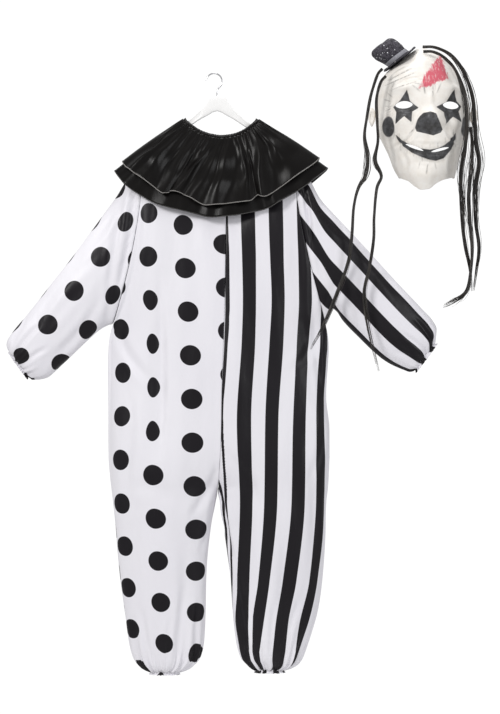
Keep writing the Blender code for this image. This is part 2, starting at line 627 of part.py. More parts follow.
def build_placket(halves, group):
    """Lapped opening down the centre back, laid on the panels' own points and moved out."""
    dot, stripe = halves
    rows = [v for v in dot.panel_rows() if 0.004 < v < 0.66]
    outer, inner = [], []
    for v in rows:
        outer_row, inner_row = [], []
        for half, share in ((dot, 1.0), (dot, 0.5), (dot, 0.0), (stripe, 0.5), (stripe, 1.0)):
            surface = half.panel(1.0)
            first = half.panel_columns(v)[1]
            point = surface(0.0, v).lerp(surface(first, v), share * PLACKET_SHARE)
            normal = surface_normal(surface, first * 0.5, v, Vector((0.0, 1.0, 0.0)))
            normal.x = 0.0
            normal.normalize()
            outer_row.append(point + normal * (SEAM_GAP * 1.5 + PLACKET_WALL))
            inner_row.append(point + normal * SEAM_GAP * 1.5)
        outer.append(outer_row)
        inner.append(inner_row)
    return loft_wall("back_placket", outer, inner, "dot satin", group)


# ---------------------------------------------------------------- collar
def collar_point(hem, u, v, out):
    """Collar surface: u runs round from the left corner by the front, v from neck to hem."""
    angle = 2.0 * math.pi * u
    share = (1.0 - math.cos(angle)) / 2
    front = 1.0 if math.sin(angle) >= 0.0 else -1.0
    neck = Vector((read_along(NECK_EDGE, "x", share), 0.0, read_along(NECK_EDGE, "z", share)))
    edge = Vector((read_along(hem, "x", share), 0.0, read_along(hem, "z", share)))
    point = neck.lerp(edge, v)
    side = abs(math.sin(angle))
    belly = BELLY_NECK + BELLY_GROWTH * v ** 0.6 + out * (0.35 + 0.65 * v)
    flute = COLLAR_FLUTE * v * side * math.cos(2.0 * math.pi * COLLAR_FOLDS * u + 0.6 * math.sin(3.0 * angle))
    point.y = -front * (belly * side ** 0.55 + flute)
    ridge = (1.0 - side) ** 3
    point.z += out * 0.6 * ridge + RIDGE_RISE * (ridge * math.sin(math.pi * v) - v * (1.0 - ridge))
    return point


def build_ruffle(name, hem, out, wall, rows, finish, group):
    """Gathered layer all the way round the neck."""
    outer, inner = [], []
    for v in rows:
        outer_row, inner_row = [], []
        for j in range(COLLAR_SEGMENTS):
            u = j / COLLAR_SEGMENTS
            point = collar_point(hem, u, v, out)
            along = collar_point(hem, u + 0.003, v, out) - collar_point(hem, u - 0.003, v, out)
            down = collar_point(hem, u, min(v + 0.02, 1.0), out) - collar_point(hem, u, max(v - 0.02, 0.0), out)
            normal = along.cross(down).normalized()
            if normal.y * point.y < 0.0 or (abs(point.y) < 1e-6 and normal.z < 0.0):
                normal = -normal
            outer_row.append(point)
            inner_row.append(point - normal * wall)
        outer.append(outer_row)
        inner.append(inner_row)
    return loft_wall(name, outer, inner, finish, group, closed=True)


# ---------------------------------------------------------------- hanger
def build_hanger(group):
    """Moulded body and arms, one solid through upright sections, and its wire hook."""
    stations = [(-row.reach, row) for row in reversed(ARMS[1:])] + [(row.reach, row) for row in ARMS]
    rings = []
    for reach, row in stations:
        middle = (row.top + row.bottom) / 2
        half = (row.top - row.bottom) / 2
        thick = HANGER_THICK * (TIP_THIN if abs(reach) > TIP_REACH else 1.0)
        ring = []
        for j in range(8):
            angle = math.pi * (j + 0.5) / 4
            y = thick * clamp(1.3 * math.cos(angle), -1.0, 1.0)
            z = middle + half * clamp(1.1 * math.sin(angle), -1.0, 1.0)
            ring.append(Vector((HANGER_X + reach, y, z)))
        rings.append(ring)
    loft_solid("hanger_body", rings, "white plastic", group)

    centre_z = WIRE_RADIUS - HOOK_RADIUS
    stem_foot = ARMS[0].top + SEAM_GAP
    points = [(HANGER_X, 0.0, stem_foot), (HANGER_X, 0.0, stem_foot + 0.010), (HANGER_X, 0.0, stem_foot + 0.016)]
    points += [(HANGER_X + 0.0025, 0.0, -0.0395), (HANGER_X + 0.0075, 0.0, -0.0345)]
    for step in range(13):
        angle = math.radians(-24.0 + 16.5 * step)
        points.append((HOOK_RADIUS * math.cos(angle), 0.0, centre_z + HOOK_RADIUS * math.sin(angle)))
    add_wire("hanger_hook", points, WIRE_RADIUS, "chrome wire", group)


def add_wire(name, points, radius, finish, group):
    curve = bpy.data.curves.new(name, "CURVE")
    curve.dimensions = "3D"
    curve.bevel_depth = radius
    curve.bevel_resolution = 2
    curve.use_fill_caps = True
    spline = curve.splines.new("POLY")
    spline.points.add(len(points) - 1)
    for target, point in zip(spline.points, points):
        target.co = (*point, 1.0)
    return add_object(name, curve, finish, group)


# ---------------------------------------------------------------- mask
def mask_point(u, v):
    """Face surface: u from the left edge to the right, v from the crown to the chin."""
    top, low = MASK_FACES[0].z, MASK_FACES[-1].z
    z = top + (low - top) * v
    left, right = read_down(MASK_FACES, "left", z), read_down(MASK_FACES, "right", z)
    depth = read_down(MASK_FACES, "depth", z)
    angle = math.pi * (u * 1.16 - 0.08)
    x = (left + right) / 2 - (right - left) / 2 * math.cos(angle)
    y = 0.015 - depth * math.sin(angle)
    nose_x, nose_z, radius, height = NOSE
    away = math.hypot(x - nose_x, (z - nose_z) * 1.15) / radius
    y -= height * ease(1.25 - away) if away < 1.25 else 0.0
    flap = read([i / (len(CHIN_FLAP) - 1) for i in range(len(CHIN_FLAP))], CHIN_FLAP, u)
    return Vector((x, y, z - flap * ease((v - 0.72) / 0.28)))


def prism(name, outline, low_y, high_y, group):
    """Straight cutter through the mask, along Y."""
    bm = bmesh.new()
    loops = [[bm.verts.new((x, y, z)) for x, z in outline] for y in (low_y, high_y)]
    count = len(outline)
    for j in range(count):
        k = (j + 1) % count
        bm.faces.new((loops[0][j], loops[0][k], loops[1][k], loops[1][j]))
    bm.faces.new(loops[0])
    bm.faces.new(loops[1])
    cutter = add_mesh(name, bm, "latex", group)
    cutter.hide_render = True
    cutter.display_type = "WIRE"
    return cutter


def almond(x, z, half_width, half_height, tilt, sides=12):
    """Outline of an eye or mouth hole: pointed at both ends, turned by tilt degrees."""
    turn = math.radians(tilt)
    outline = []
    for j in range(sides):
        angle = 2.0 * math.pi * j / sides
        across = half_width * math.cos(angle)
        up = half_height * math.sin(angle) * abs(math.sin(angle)) ** 0.3
        outline.append((x + across * math.cos(turn) - up * math.sin(turn),
                        z + across * math.sin(turn) + up * math.cos(turn)))
    return outline


def build_mask(group, cutters):
    columns = [i / 18 for i in range(19)]
    rows = [i / 15 for i in range(16)]

    def normal_at(u, v, point):
        return surface_normal(mask_point, u, v, point - Vector((0.563, 0.06, -0.11)))

    grids = wall_grids(mask_point, lambda v: columns, rows, MASK_WALL, normal_at)
    face = loft_wall("mask_face", *grids, "latex", group)
    holes = [almond(x, z, *EYE_HOLE, 0.0) for x, z in EYES]
    holes += [almond(x, z, *SLIT, tilt) for x, z, tilt in MOUTH_SLITS]
    for number, outline in enumerate(holes):
        cutter = prism(f"hole_{number}", outline, -0.16, -0.02, cutters)
        cut = face.modifiers.new(f"hole {number}", "BOOLEAN")
        cut.operation = "DIFFERENCE"
        cut.solver = "EXACT"
        cut.object = cutter

    for name, (x, z, tip) in zip(("mask_ear_left", "mask_ear_right"), EARS):
        bm = bmesh.new()
        bmesh.ops.create_uvsphere(bm, u_segments=10, v_segments=6, radius=1.0)
        bmesh.ops.scale(bm, vec=(tip, EAR_HALF_DEPTH, EAR_HALF_HEIGHT), verts=bm.verts)
        bmesh.ops.translate(bm, vec=(x, EAR_Y, z), verts=bm.verts)
        add_mesh(name, bm, "latex", group)


def build_strap(group):
    """Flat elastic that joins the mask's side edges behind the head."""
    outer, inner = [], []
    left, right = STRAP_ENDS
    foot_y, foot_z = STRAP_FOOT
    for i in range(13):
        angle = math.pi * i / 12
        x = (left + right) / 2 - (right - left) / 2 * math.cos(angle)
        y = foot_y + STRAP_SAG * math.sin(angle)
        z = foot_z - STRAP_SAG * math.sin(angle)
        for rows, away in ((outer, STRAP_WALL), (inner, 0.0)):
            rows.append([Vector((x, y + away, z + STRAP_WIDTH / 2)), Vector((x, y + away, z - STRAP_WIDTH / 2))])
    loft_wall("mask_strap", outer, inner, "elastic", group)


def hat_ring(radius, height):
    """Ring of points about the hat's leaning axis."""
    axis = Vector((math.sin(HAT_LEAN), 0.0, math.cos(HAT_LEAN)))
    across = Vector((math.cos(HAT_LEAN), 0.0, -math.sin(HAT_LEAN)))
    middle = HAT_FOOT + axis * height - across * (CROWN_SKEW * height)
    ring = []
    for j in range(HAT_SEGMENTS):
        angle = 2.0 * math.pi * j / HAT_SEGMENTS
        round_axis = across * math.cos(angle) + Vector((0.0, math.sin(angle), 0.0))
        ring.append(middle + round_axis * radius)
    return ring


def build_hat(group):
    brim = [hat_ring(BRIM_RADIUS, 0.0), hat_ring(BRIM_RADIUS, BRIM_THICK)]
    loft_solid("hat_brim", brim, "glitter felt", group)
    crown = [hat_ring(CROWN_FOOT, CROWN_START), hat_ring(CROWN_FOOT + 0.001, CROWN_START + 0.020),
             hat_ring(CROWN_TOP, CROWN_HEIGHT - 0.008), hat_ring(CROWN_TOP - 0.004, CROWN_HEIGHT)]
    loft_solid("hat_crown", crown, "glitter felt", group)
    foot, top = CROWN_START + BAND_START, CROWN_START + BAND_END
    outer = [hat_ring(CROWN_FOOT + BAND_PROUD, foot), hat_ring(CROWN_FOOT + BAND_PROUD + BAND_FLARE, top)]
    inner = [hat_ring(CROWN_FOOT + BAND_GAP, foot), hat_ring(CROWN_FOOT + BAND_GAP + BAND_FLARE, top)]
    loft_wall("hat_band", outer, inner, "silver ribbon", group, closed=True)


def smooth_route(points):
    """Points read from a smooth curve through a route's own points."""
    route = [Vector(point) for point in points]
    ends = [route[0] * 2.0 - route[1]] + route + [route[-1] * 2.0 - route[-2]]
    steps = 2
    sampled = []
    for before, start, end, after in zip(ends, ends[1:], ends[2:], ends[3:]):
        for k in range(steps):
            t = k / steps
            leave, arrive = (end - before) / 2, (after - start) / 2
            rise = end - start
            sampled.append(start + t * (leave + t * (3.0 * rise - 2.0 * leave - arrive
                                                     + t * (leave + arrive - 2.0 * rise))))
    return sampled + [route[-1]]


# ---------------------------------------------------------------- the whole costume
def main():
    for old in list(bpy.data.objects):
        bpy.data.objects.remove(old, do_unlink=True)
    parts = collection("clown_costume")
    cutters = collection("cutters")

    build_hanger(parts)
    halves = (Half("dot", -1.0, DOT_SECTIONS, DOT_RINGS, DOT_FOLDS),
              Half("stripe", 1.0, STRIPE_SECTIONS, STRIPE_RINGS, STRIPE_FOLDS))
    for half in halves:
        cloth = f"{half.name} satin"
        half.build_panel(-1.0, f"{half.name}_front", cloth, parts)
        half.build_panel(1.0, f"{half.name}_back", cloth, parts)
        half.build_sleeve(f"{half.name}_sleeve", cloth, parts)
        build_casing(f"{half.name}_cuff", *sleeve_end(half), cloth, parts)
        build_casing(f"{half.name}_ankle", *leg_end(half), cloth, parts)
    build_placket(halves, parts)

    build_ruffle("collar_band", UPPER_HEM, 0.010, BAND_WALL, BAND_ROWS, "black satin", parts)
    build_ruffle("collar_lower", LOWER_HEM, 0.004, RUFFLE_WALL, COLLAR_ROWS, "black satin", parts)
    build_ruffle("collar_upper", UPPER_HEM, 0.012, RUFFLE_WALL, COLLAR_ROWS, "black satin", parts)

    build_mask(parts, cutters)
    build_strap(parts)
    build_hat(parts)
    for name, points in HAIR.items():
        add_wire(name, smooth_route(points), HAIR_RADIUS, "black hair", parts)


main()
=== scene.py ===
"""Looks of the clown costume: satin jumpsuit, black ruffle collar, painted mask, hanger.

Metres, +Z up, front towards -Y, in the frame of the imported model. Left and right are the
viewer's. Every piece of cloth is laid on the same form as its solid, then creased.
"""

import math
from collections import namedtuple

import bmesh
import bpy
import numpy as np
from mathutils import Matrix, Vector, noise


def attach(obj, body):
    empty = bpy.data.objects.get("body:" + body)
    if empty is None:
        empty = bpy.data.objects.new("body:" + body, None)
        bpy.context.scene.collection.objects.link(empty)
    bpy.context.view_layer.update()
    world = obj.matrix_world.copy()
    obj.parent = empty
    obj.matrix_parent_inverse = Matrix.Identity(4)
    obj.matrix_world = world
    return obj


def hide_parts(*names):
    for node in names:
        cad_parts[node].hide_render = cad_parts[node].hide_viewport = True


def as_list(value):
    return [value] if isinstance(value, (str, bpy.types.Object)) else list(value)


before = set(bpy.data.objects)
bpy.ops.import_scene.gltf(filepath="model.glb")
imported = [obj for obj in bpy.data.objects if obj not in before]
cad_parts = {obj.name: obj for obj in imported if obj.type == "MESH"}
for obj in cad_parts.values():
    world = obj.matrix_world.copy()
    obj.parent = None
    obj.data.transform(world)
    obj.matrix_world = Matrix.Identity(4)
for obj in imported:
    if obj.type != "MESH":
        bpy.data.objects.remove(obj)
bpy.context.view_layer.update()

# ---------------------------------------------------------------- the costume's own sizes
CLOTH_WALL = 0.0008           # thickness of satin
LINE_SHIFT = 0.00015          # half of the gap between panels that meet at a seam
CROTCH_Z = -1.118
CROTCH_RISE = 0.16
UNDERARM_Z = -0.675
SHOULDER_RADIUS = 0.011
SHOULDER_CLEAR = 0.0045
NECK_DROP = 0.200
NECK_OPEN = 0.0125
NECK_HALF_WIDTH = 0.096
NECK_TURN = 0.022
NECK_DIP = 0.002
NECK_CURVE = 2.4
FRONT_FALL = 0.30
HIP_Z = -0.72
HANGER_X = 0.008
SLEEVE_FULLNESS = 0.85
DOT_PITCH = 0.100             # between columns of dots
DOT_DROP = 0.115              # between dots down a column
DOT_RADIUS = 0.027
STRIPE_WIDTH = 0.038
GATHER_Z = -1.555             # below this the print follows the cloth into the elastic
UPPER_SHARE = 0.36            # share of a panel's rows above the underarm
JOIN_SPAN = (0.29, 0.44)      # rows evened out where upper and lower body meet
JOIN_PASSES = 14
VIEW_DISTANCE = 6.0           # where the viewer stands
VIEW_SPOT = (0.097, -0.764)
THREAD_PITCH = 0.0009         # satin's long threads, and its short ones
FLOAT_PITCH = 0.0022
RIB_PITCH = 0.0022            # ribs and threads of the elastic
CORD_PITCH = 0.0016
LOWER_OUT = 0.004             # how far each collar layer stands out from the neck edge
BAND_OUT = 0.0115
UPPER_OUT = 0.014
RUFFLE_WALL = 0.0007
BAND_WALL = 0.0012
RIBBON_WALL = 0.0005
LATEX_WALL = 0.0026
ELASTIC_WALL = 0.0013

# how finely each piece is laid: columns and rows
FRONT_GRID = (120, 210)
BACK_GRID = (90, 152)
SLEEVE_GRID = (144, 106)
END_GRID = (264, 12)
PLACKET_GRID = (22, 260)
RUFFLE_GRID = (420, 42)
BAND_GRID = (420, 10)
HEM_ROUND = 8
HANGER_GRID = (40, 240)
MASK_GRID = (158, 190)
ELASTIC_GRID = (12, 180)
HAT_ROUND = 96

Seam = namedtuple("Seam", "z x depth")
Section = namedtuple("Section", "z inner outer depth")
Ring = namedtuple("Ring", "upper_x upper_z lower_x lower_z depth")
Fold = namedtuple("Fold", "x_top x_low z_top z_low width depth")
Crease = namedtuple("Crease", "x0 z0 x1 z1 bend width depth")
Hem = namedtuple("Hem", "x z")
Arm = namedtuple("Arm", "reach top bottom")
Face = namedtuple("Face", "z left right depth")
Swell = namedtuple("Swell", "x z half_x half_z turn height")


def listed(kind, rows):
    """Rows of plain numbers, given the names of their columns."""
    return [kind(*row) for row in rows]



CENTRE_SEAM = listed(Seam, [
    (-0.12, 0.034, 0.048), (-0.39, 0.0324, 0.052), (-0.61, 0.0297, 0.058), (-0.85, 0.0216, 0.063),
    (-1.0, 0.0189, 0.062), (-1.083, 0.0135, 0.058), (-1.118, 0.0108, 0.056),
])
DOT_SECTIONS = listed(Section, [
    (-0.675, 0.0282, -0.2722, 0.06), (-0.702, 0.0274, -0.285, 0.06), (-0.78, 0.0244, -0.2862, 0.061),
    (-0.87, 0.0212, -0.2862, 0.062), (-0.958, 0.0198, -0.2862, 0.061), (-1.03, 0.0172, -0.2855, 0.06),
    (-1.085, 0.0135, -0.2815, 0.058), (-1.11, 0.0115, -0.2785, 0.057), (-1.118, 0.0104, -0.2775, 0.057),
    (-1.15, 0.004, -0.2735, 0.056), (-1.188, -0.0027, -0.269, 0.056), (-1.225, -0.0085, -0.264, 0.055),
    (-1.29, -0.0165, -0.2585, 0.055), (-1.37, -0.0205, -0.2505, 0.054), (-1.45, -0.0218, -0.24, 0.052),
    (-1.51, -0.025, -0.2325, 0.05), (-1.55, -0.03, -0.225, 0.047), (-1.577, -0.0385, -0.2155, 0.043),
    (-1.596, -0.0545, -0.2015, 0.037), (-1.607, -0.073, -0.188, 0.03), (-1.6125, -0.0925, -0.174, 0.023),
])
STRIPE_SECTIONS = listed(Section, [
    (-0.675, 0.0282, 0.303, 0.06), (-0.702, 0.0274, 0.307, 0.06), (-0.78, 0.0244, 0.3055, 0.061),
    (-0.87, 0.0212, 0.303, 0.062), (-0.958, 0.0198, 0.312, 0.061), (-1.03, 0.0172, 0.3125, 0.06),
    (-1.085, 0.0135, 0.3105, 0.058), (-1.11, 0.0115, 0.309, 0.057), (-1.118, 0.0112, 0.3085, 0.057),
    (-1.15, 0.0145, 0.3045, 0.056), (-1.188, 0.019, 0.3025, 0.056), (-1.225, 0.0275, 0.3022, 0.055),
    (-1.29, 0.035, 0.2992, 0.055), (-1.37, 0.045, 0.2925, 0.054), (-1.45, 0.0498, 0.2805, 0.052),
    (-1.51, 0.0565, 0.263, 0.05), (-1.55, 0.0635, 0.249, 0.047), (-1.577, 0.073, 0.2375, 0.043),
    (-1.592, 0.087, 0.2265, 0.037), (-1.602, 0.0985, 0.211, 0.03), (-1.6075, 0.109, 0.1915, 0.023),
])
DOT_RINGS = listed(Ring, [
    (-0.186, -0.204, -0.2722, -0.675, 0.042), (-0.216, -0.26, -0.29, -0.683, 0.046),
    (-0.253, -0.326, -0.308, -0.695, 0.049), (-0.2943, -0.3807, -0.3295, -0.715, 0.05),
    (-0.335, -0.4335, -0.351, -0.735, 0.05), (-0.378, -0.489, -0.371, -0.754, 0.049),
    (-0.424, -0.548, -0.392, -0.774, 0.048), (-0.467, -0.6035, -0.412, -0.791, 0.047),
    (-0.505, -0.652, -0.431, -0.808, 0.045), (-0.54, -0.697, -0.45, -0.8215, 0.042),
    (-0.5545, -0.721, -0.471, -0.826, 0.037), (-0.557, -0.736, -0.487, -0.8265, 0.03),
    (-0.548, -0.748, -0.4975, -0.818, 0.022),
])
STRIPE_RINGS = listed(Ring, [
    (0.203, -0.204, 0.303, -0.675, 0.042), (0.247, -0.27, 0.319, -0.628, 0.046),
    (0.286, -0.339, 0.335, -0.638, 0.049), (0.319, -0.3765, 0.351, -0.661, 0.05),
    (0.356, -0.416, 0.37, -0.683, 0.05), (0.397, -0.459, 0.3915, -0.706, 0.049),
    (0.437, -0.502, 0.413, -0.729, 0.048), (0.478, -0.547, 0.435, -0.751, 0.047),
    (0.518, -0.591, 0.458, -0.771, 0.045), (0.556, -0.633, 0.483, -0.787, 0.042),
    (0.586, -0.667, 0.508, -0.7985, 0.037), (0.5985, -0.693, 0.526, -0.8035, 0.03),
    (0.595, -0.7245, 0.5395, -0.8, 0.022),
])
DOT_FOLDS = listed(Fold, [
    (-0.14, -0.15, -0.52, -1.04, 0.024, 0.012), (-0.235, -0.215, -0.95, -1.5, 0.026, 0.008),
    (-0.07, -0.085, -1.2, -1.62, 0.022, 0.009),
])
STRIPE_FOLDS = listed(Fold, [
    (0.235, 0.275, -0.42, -0.92, 0.024, 0.012), (0.09, 0.075, -1.02, -1.4, 0.024, 0.01),
    (0.2, 0.165, -1.22, -1.62, 0.024, 0.009),
])

# small creases: where each starts and ends, how far it bows, how wide and how deep
DOT_CREASES = listed(Crease, [
    (-0.146, -0.56, -0.143, -1.0, 0.006, 0.008, 0.003), (-0.262, -0.7, -0.165, -0.83, -0.01, 0.012, 0.003),
    (-0.2, -0.36, -0.236, -0.62, 0.008, 0.011, 0.003), (0.016, -1.05, -0.06, -1.19, 0.006, 0.01, 0.0034),
    (0.006, -1.12, -0.03, -1.28, 0.004, 0.008, 0.003), (-0.2, -1.1, -0.11, -1.15, 0.01, 0.02, 0.0026),
    (-0.09, -1.6, -0.084, -1.4, 0.003, 0.008, 0.0026), (-0.16, -1.6, -0.194, -1.44, 0.004, 0.008, 0.003),
    (-0.124, -1.6, -0.118, -1.47, 0.002, 0.006, 0.0022), (-0.05, -1.58, -0.04, -1.42, 0.003, 0.007, 0.0026),
    (-0.06, -0.4, -0.045, -0.7, 0.01, 0.018, 0.0016), (-0.22, -0.86, -0.235, -1.1, 0.006, 0.012, 0.0022),
])
STRIPE_CREASES = listed(Crease, [
    (0.262, -0.44, 0.292, -0.88, -0.008, 0.009, 0.004), (0.296, -0.66, 0.215, -0.8, 0.01, 0.012, 0.0028),
    (0.014, -1.08, 0.05, -1.3, -0.004, 0.006, 0.0046), (0.016, -1.12, 0.04, -1.24, 0.003, 0.005, 0.0036),
    (0.058, -1.36, 0.104, -1.6, -0.006, 0.008, 0.0032), (0.186, -1.6, 0.226, -1.42, 0.006, 0.008, 0.0032),
    (0.152, -1.6, 0.16, -1.43, 0.003, 0.007, 0.0026), (0.126, -1.6, 0.118, -1.46, 0.002, 0.006, 0.0026),
    (0.036, -1.02, 0.12, -1.16, 0.01, 0.013, 0.0026), (0.255, -1.0, 0.268, -1.3, 0.006, 0.012, 0.0024),
    (0.11, -0.4, 0.104, -0.72, -0.008, 0.018, 0.0014), (0.3, -0.9, 0.268, -1.08, 0.006, 0.01, 0.0026),
])
DOT_SLEEVE_CREASES = listed(Crease, [
    (-0.215, -0.3, -0.262, -0.6, 0.012, 0.01, 0.0046), (-0.24, -0.32, -0.286, -0.66, -0.006, 0.009, 0.0036),
    (-0.232, -0.29, -0.33, -0.46, 0.01, 0.01, 0.0034), (-0.3, -0.6, -0.42, -0.76, 0.01, 0.012, 0.0036),
    (-0.36, -0.52, -0.48, -0.68, -0.008, 0.012, 0.0028), (-0.535, -0.76, -0.47, -0.68, 0.003, 0.006, 0.003),
    (-0.52, -0.79, -0.45, -0.74, 0.003, 0.006, 0.003), (-0.545, -0.74, -0.5, -0.66, 0.003, 0.006, 0.0026),
])
STRIPE_SLEEVE_CREASES = listed(Crease, [
    (0.236, -0.28, 0.262, -0.5, 0.004, 0.006, 0.006), (0.246, -0.33, 0.3, -0.56, -0.008, 0.008, 0.0046),
    (0.262, -0.33, 0.352, -0.44, -0.008, 0.01, 0.0036), (0.3, -0.5, 0.42, -0.68, -0.01, 0.012, 0.0036),
    (0.38, -0.46, 0.5, -0.6, 0.008, 0.012, 0.0026), (0.575, -0.76, 0.505, -0.7, -0.003, 0.006, 0.003),
    (0.56, -0.78, 0.49, -0.75, -0.003, 0.006, 0.0026), (0.59, -0.73, 0.54, -0.66, -0.003, 0.006, 0.0028),
])

# where the printed columns run on the front: height, then the place of each across
DOT_LINES = [
    (-0.330, -0.262, -0.176, -0.084, 0.026), (-0.410, -0.262, -0.175, -0.084, 0.027),
    (-0.524, -0.262, -0.177, -0.078, 0.034), (-0.640, -0.257, -0.169, -0.070, 0.037),
    (-0.759, -0.248, -0.164, -0.063, 0.044), (-0.875, -0.246, -0.163, -0.059, 0.049),
    (-0.994, -0.251, -0.165, -0.057, 0.053), (-1.110, -0.249, -0.163, -0.052, 0.058),
    (-1.226, -0.241, -0.155, -0.049, 0.061), (-1.339, -0.233, -0.149, -0.048, 0.060),
    (-1.450, -0.225, -0.141, -0.047, 0.056), (-1.561, -0.212, -0.131, -0.045, 0.050),
]
STRIPE_LINES = [
    (-0.300, 0.020, 0.0345, 0.070, 0.108, 0.146, 0.184, 0.221, 0.259, 0.297, 0.335),
    (-0.421, 0.024, 0.0385, 0.073, 0.111, 0.148, 0.186, 0.224, 0.262, 0.300, 0.338),
    (-0.502, 0.027, 0.0415, 0.076, 0.113, 0.151, 0.187, 0.227, 0.260, 0.292, 0.329),
    (-0.610, 0.032, 0.0425, 0.078, 0.113, 0.155, 0.190, 0.229, 0.264, 0.288, 0.320),
    (-0.718, 0.030, 0.038, 0.075, 0.111, 0.150, 0.187, 0.224, 0.255, 0.286, 0.308),
    (-0.934, 0.019, 0.025, 0.062, 0.100, 0.138, 0.173, 0.213, 0.246, 0.273, 0.297),
    (-1.150, 0.033, 0.038, 0.070, 0.103, 0.135, 0.170, 0.208, 0.243, 0.275, 0.300),
    (-1.366, 0.046, 0.050, 0.061, 0.095, 0.119, 0.149, 0.184, 0.221, 0.257, 0.281),
    (-1.474, 0.044, 0.050, 0.057, 0.093, 0.104, 0.134, 0.165, 0.200, 0.232, 0.257),
    (-1.555, 0.050, 0.060, 0.067, 0.094, 0.103, 0.122, 0.157, 0.192, 0.219, 0.232),
]
SLIVER_LINES = [              # the stripe before them, which shows only inside the thigh
    (-0.300, -0.056, -0.018), (-0.934, -0.056, -0.020), (-1.045, -0.014, -0.004), (-1.075, 0.002, 0.008),
    (-1.100, 0.008, 0.0150), (-1.125, 0.014, 0.0215), (-1.150, 0.0195, 0.0268), (-1.180, 0.0235, 0.0275),
    (-1.230, 0.0300, 0.0335), (-1.300, 0.0365, 0.0395), (-1.366, 0.0405, 0.0430), (-1.474, 0.0330, 0.0380),
    (-1.555, 0.0330, 0.0400),
]
DOT_FALL = [(0.120, -0.288), (0.4096, 0.0), (0.9931, 0.575), (1.2269, 0.805), (1.5617, 1.150), (1.640, 1.230)]
DOT_SLANT = [(-3.0, -0.060), (-2.0, -0.046), (-1.0, -0.027), (0.0, 0.0), (1.0, 0.006)]

NECK_EDGE = listed(Hem, [
    (-0.0765, -0.1245), (-0.06, -0.137), (-0.033, -0.154), (-0.006, -0.163), (0.019, -0.1665),
    (0.044, -0.164), (0.07, -0.156), (0.095, -0.1405), (0.113, -0.126),
])
UPPER_FRONT_HEM = listed(Hem, [
    (-0.247, -0.244), (-0.224, -0.262), (-0.198, -0.279), (-0.162, -0.304), (-0.131, -0.326),
    (-0.116, -0.317), (-0.091, -0.321), (-0.064, -0.335), (-0.016, -0.356), (0.029, -0.351), (0.097, -0.343),
    (0.118, -0.327), (0.134, -0.334), (0.18, -0.305), (0.232, -0.27), (0.2855, -0.2335),
])
LOWER_FRONT_HEM = listed(Hem, [
    (-0.268, -0.264), (-0.234, -0.302), (-0.2, -0.325), (-0.147, -0.353), (-0.098, -0.365), (-0.052, -0.376),
    (-0.006, -0.387), (0.05, -0.382), (0.11, -0.371), (0.15, -0.36), (0.186, -0.338), (0.25, -0.299),
    (0.308, -0.255),
])
UPPER_BACK_HEM = listed(Hem, [
    (-0.247, -0.244), (-0.203, -0.283), (-0.138, -0.32), (-0.078, -0.331), (-0.005, -0.353), (0.07, -0.347),
    (0.145, -0.327), (0.22, -0.28), (0.2855, -0.2335),
])
LOWER_BACK_HEM = listed(Hem, [
    (-0.268, -0.264), (-0.225, -0.309), (-0.15, -0.352), (-0.07, -0.373), (0.0, -0.3865), (0.08, -0.379),
    (0.16, -0.355), (0.242, -0.304), (0.308, -0.255),
])
ARMS = listed(Arm, [
    (0.0, -0.0595, -0.1), (0.012, -0.0595, -0.1035), (0.021, -0.0605, -0.109), (0.029, -0.074, -0.1135),
    (0.044, -0.0935, -0.1215), (0.06, -0.1095, -0.132), (0.08, -0.127, -0.1455), (0.12, -0.155, -0.172),
    (0.16, -0.1825, -0.198), (0.184, -0.2, -0.215), (0.19, -0.2065, -0.215),
])

# mask: the shell's outline, its features and its holes
MASK_FACES = listed(Face, [
    (0.07, 0.548, 0.571, 0.018), (0.058, 0.531, 0.602, 0.042), (0.035, 0.502, 0.634, 0.07),
    (-0.005, 0.458, 0.66, 0.092), (-0.045, 0.443, 0.678, 0.1), (-0.085, 0.439, 0.688, 0.102),
    (-0.12, 0.437, 0.69, 0.103), (-0.15, 0.44, 0.686, 0.102), (-0.185, 0.456, 0.676, 0.098),
    (-0.22, 0.473, 0.666, 0.092), (-0.255, 0.486, 0.657, 0.082), (-0.28, 0.5, 0.651, 0.068),
])
CHIN_FLAP = [0.0, 0.0, 0.002, 0.006, 0.012, 0.026, 0.036, 0.034, 0.020, 0.010, 0.005, 0.002, 0.0, 0.0, 0.0]
MASK_CORE = Vector((0.563, 0.060, -0.110))
NOSE = (0.583, -0.128, 0.036, 0.032)
EYES = ((0.5075, -0.0910), (0.6345, -0.0915))
EYE_HOLE = (0.0232, 0.0102)
MOUTH_SLITS = ((0.5349, -0.2048, -21.0), (0.6050, -0.2105, 15.0))
SLIT = (0.0255, 0.0036)
SWELLS = listed(Swell, [
    (0.515, -0.086, 0.04, 0.024, 0, -0.006), (0.639, -0.087, 0.038, 0.024, 0, -0.006),
    (0.512, -0.045, 0.042, 0.013, 8, 0.006), (0.64, -0.046, 0.04, 0.013, -8, 0.006),
    (0.579, -0.078, 0.01, 0.03, 0, 0.005), (0.579, -0.05, 0.014, 0.014, 0, -0.003),
    (0.5, -0.135, 0.03, 0.024, 20, 0.008), (0.648, -0.137, 0.028, 0.024, -20, 0.008),
    (0.55, -0.138, 0.012, 0.012, 0, 0.005), (0.612, -0.138, 0.012, 0.012, 0, 0.005),
    (0.577, -0.174, 0.008, 0.014, 0, -0.003), (0.575, -0.188, 0.052, 0.007, 0, 0.003),
    (0.575, -0.228, 0.042, 0.008, 0, 0.0055), (0.572, -0.244, 0.034, 0.007, 0, -0.003),
    (0.566, -0.275, 0.03, 0.022, 0, 0.007), (0.5, 0.01, 0.05, 0.016, 25, 0.0022),
    (0.47, -0.06, 0.02, 0.05, 0, -0.003), (0.674, -0.07, 0.014, 0.05, 0, -0.003),
])
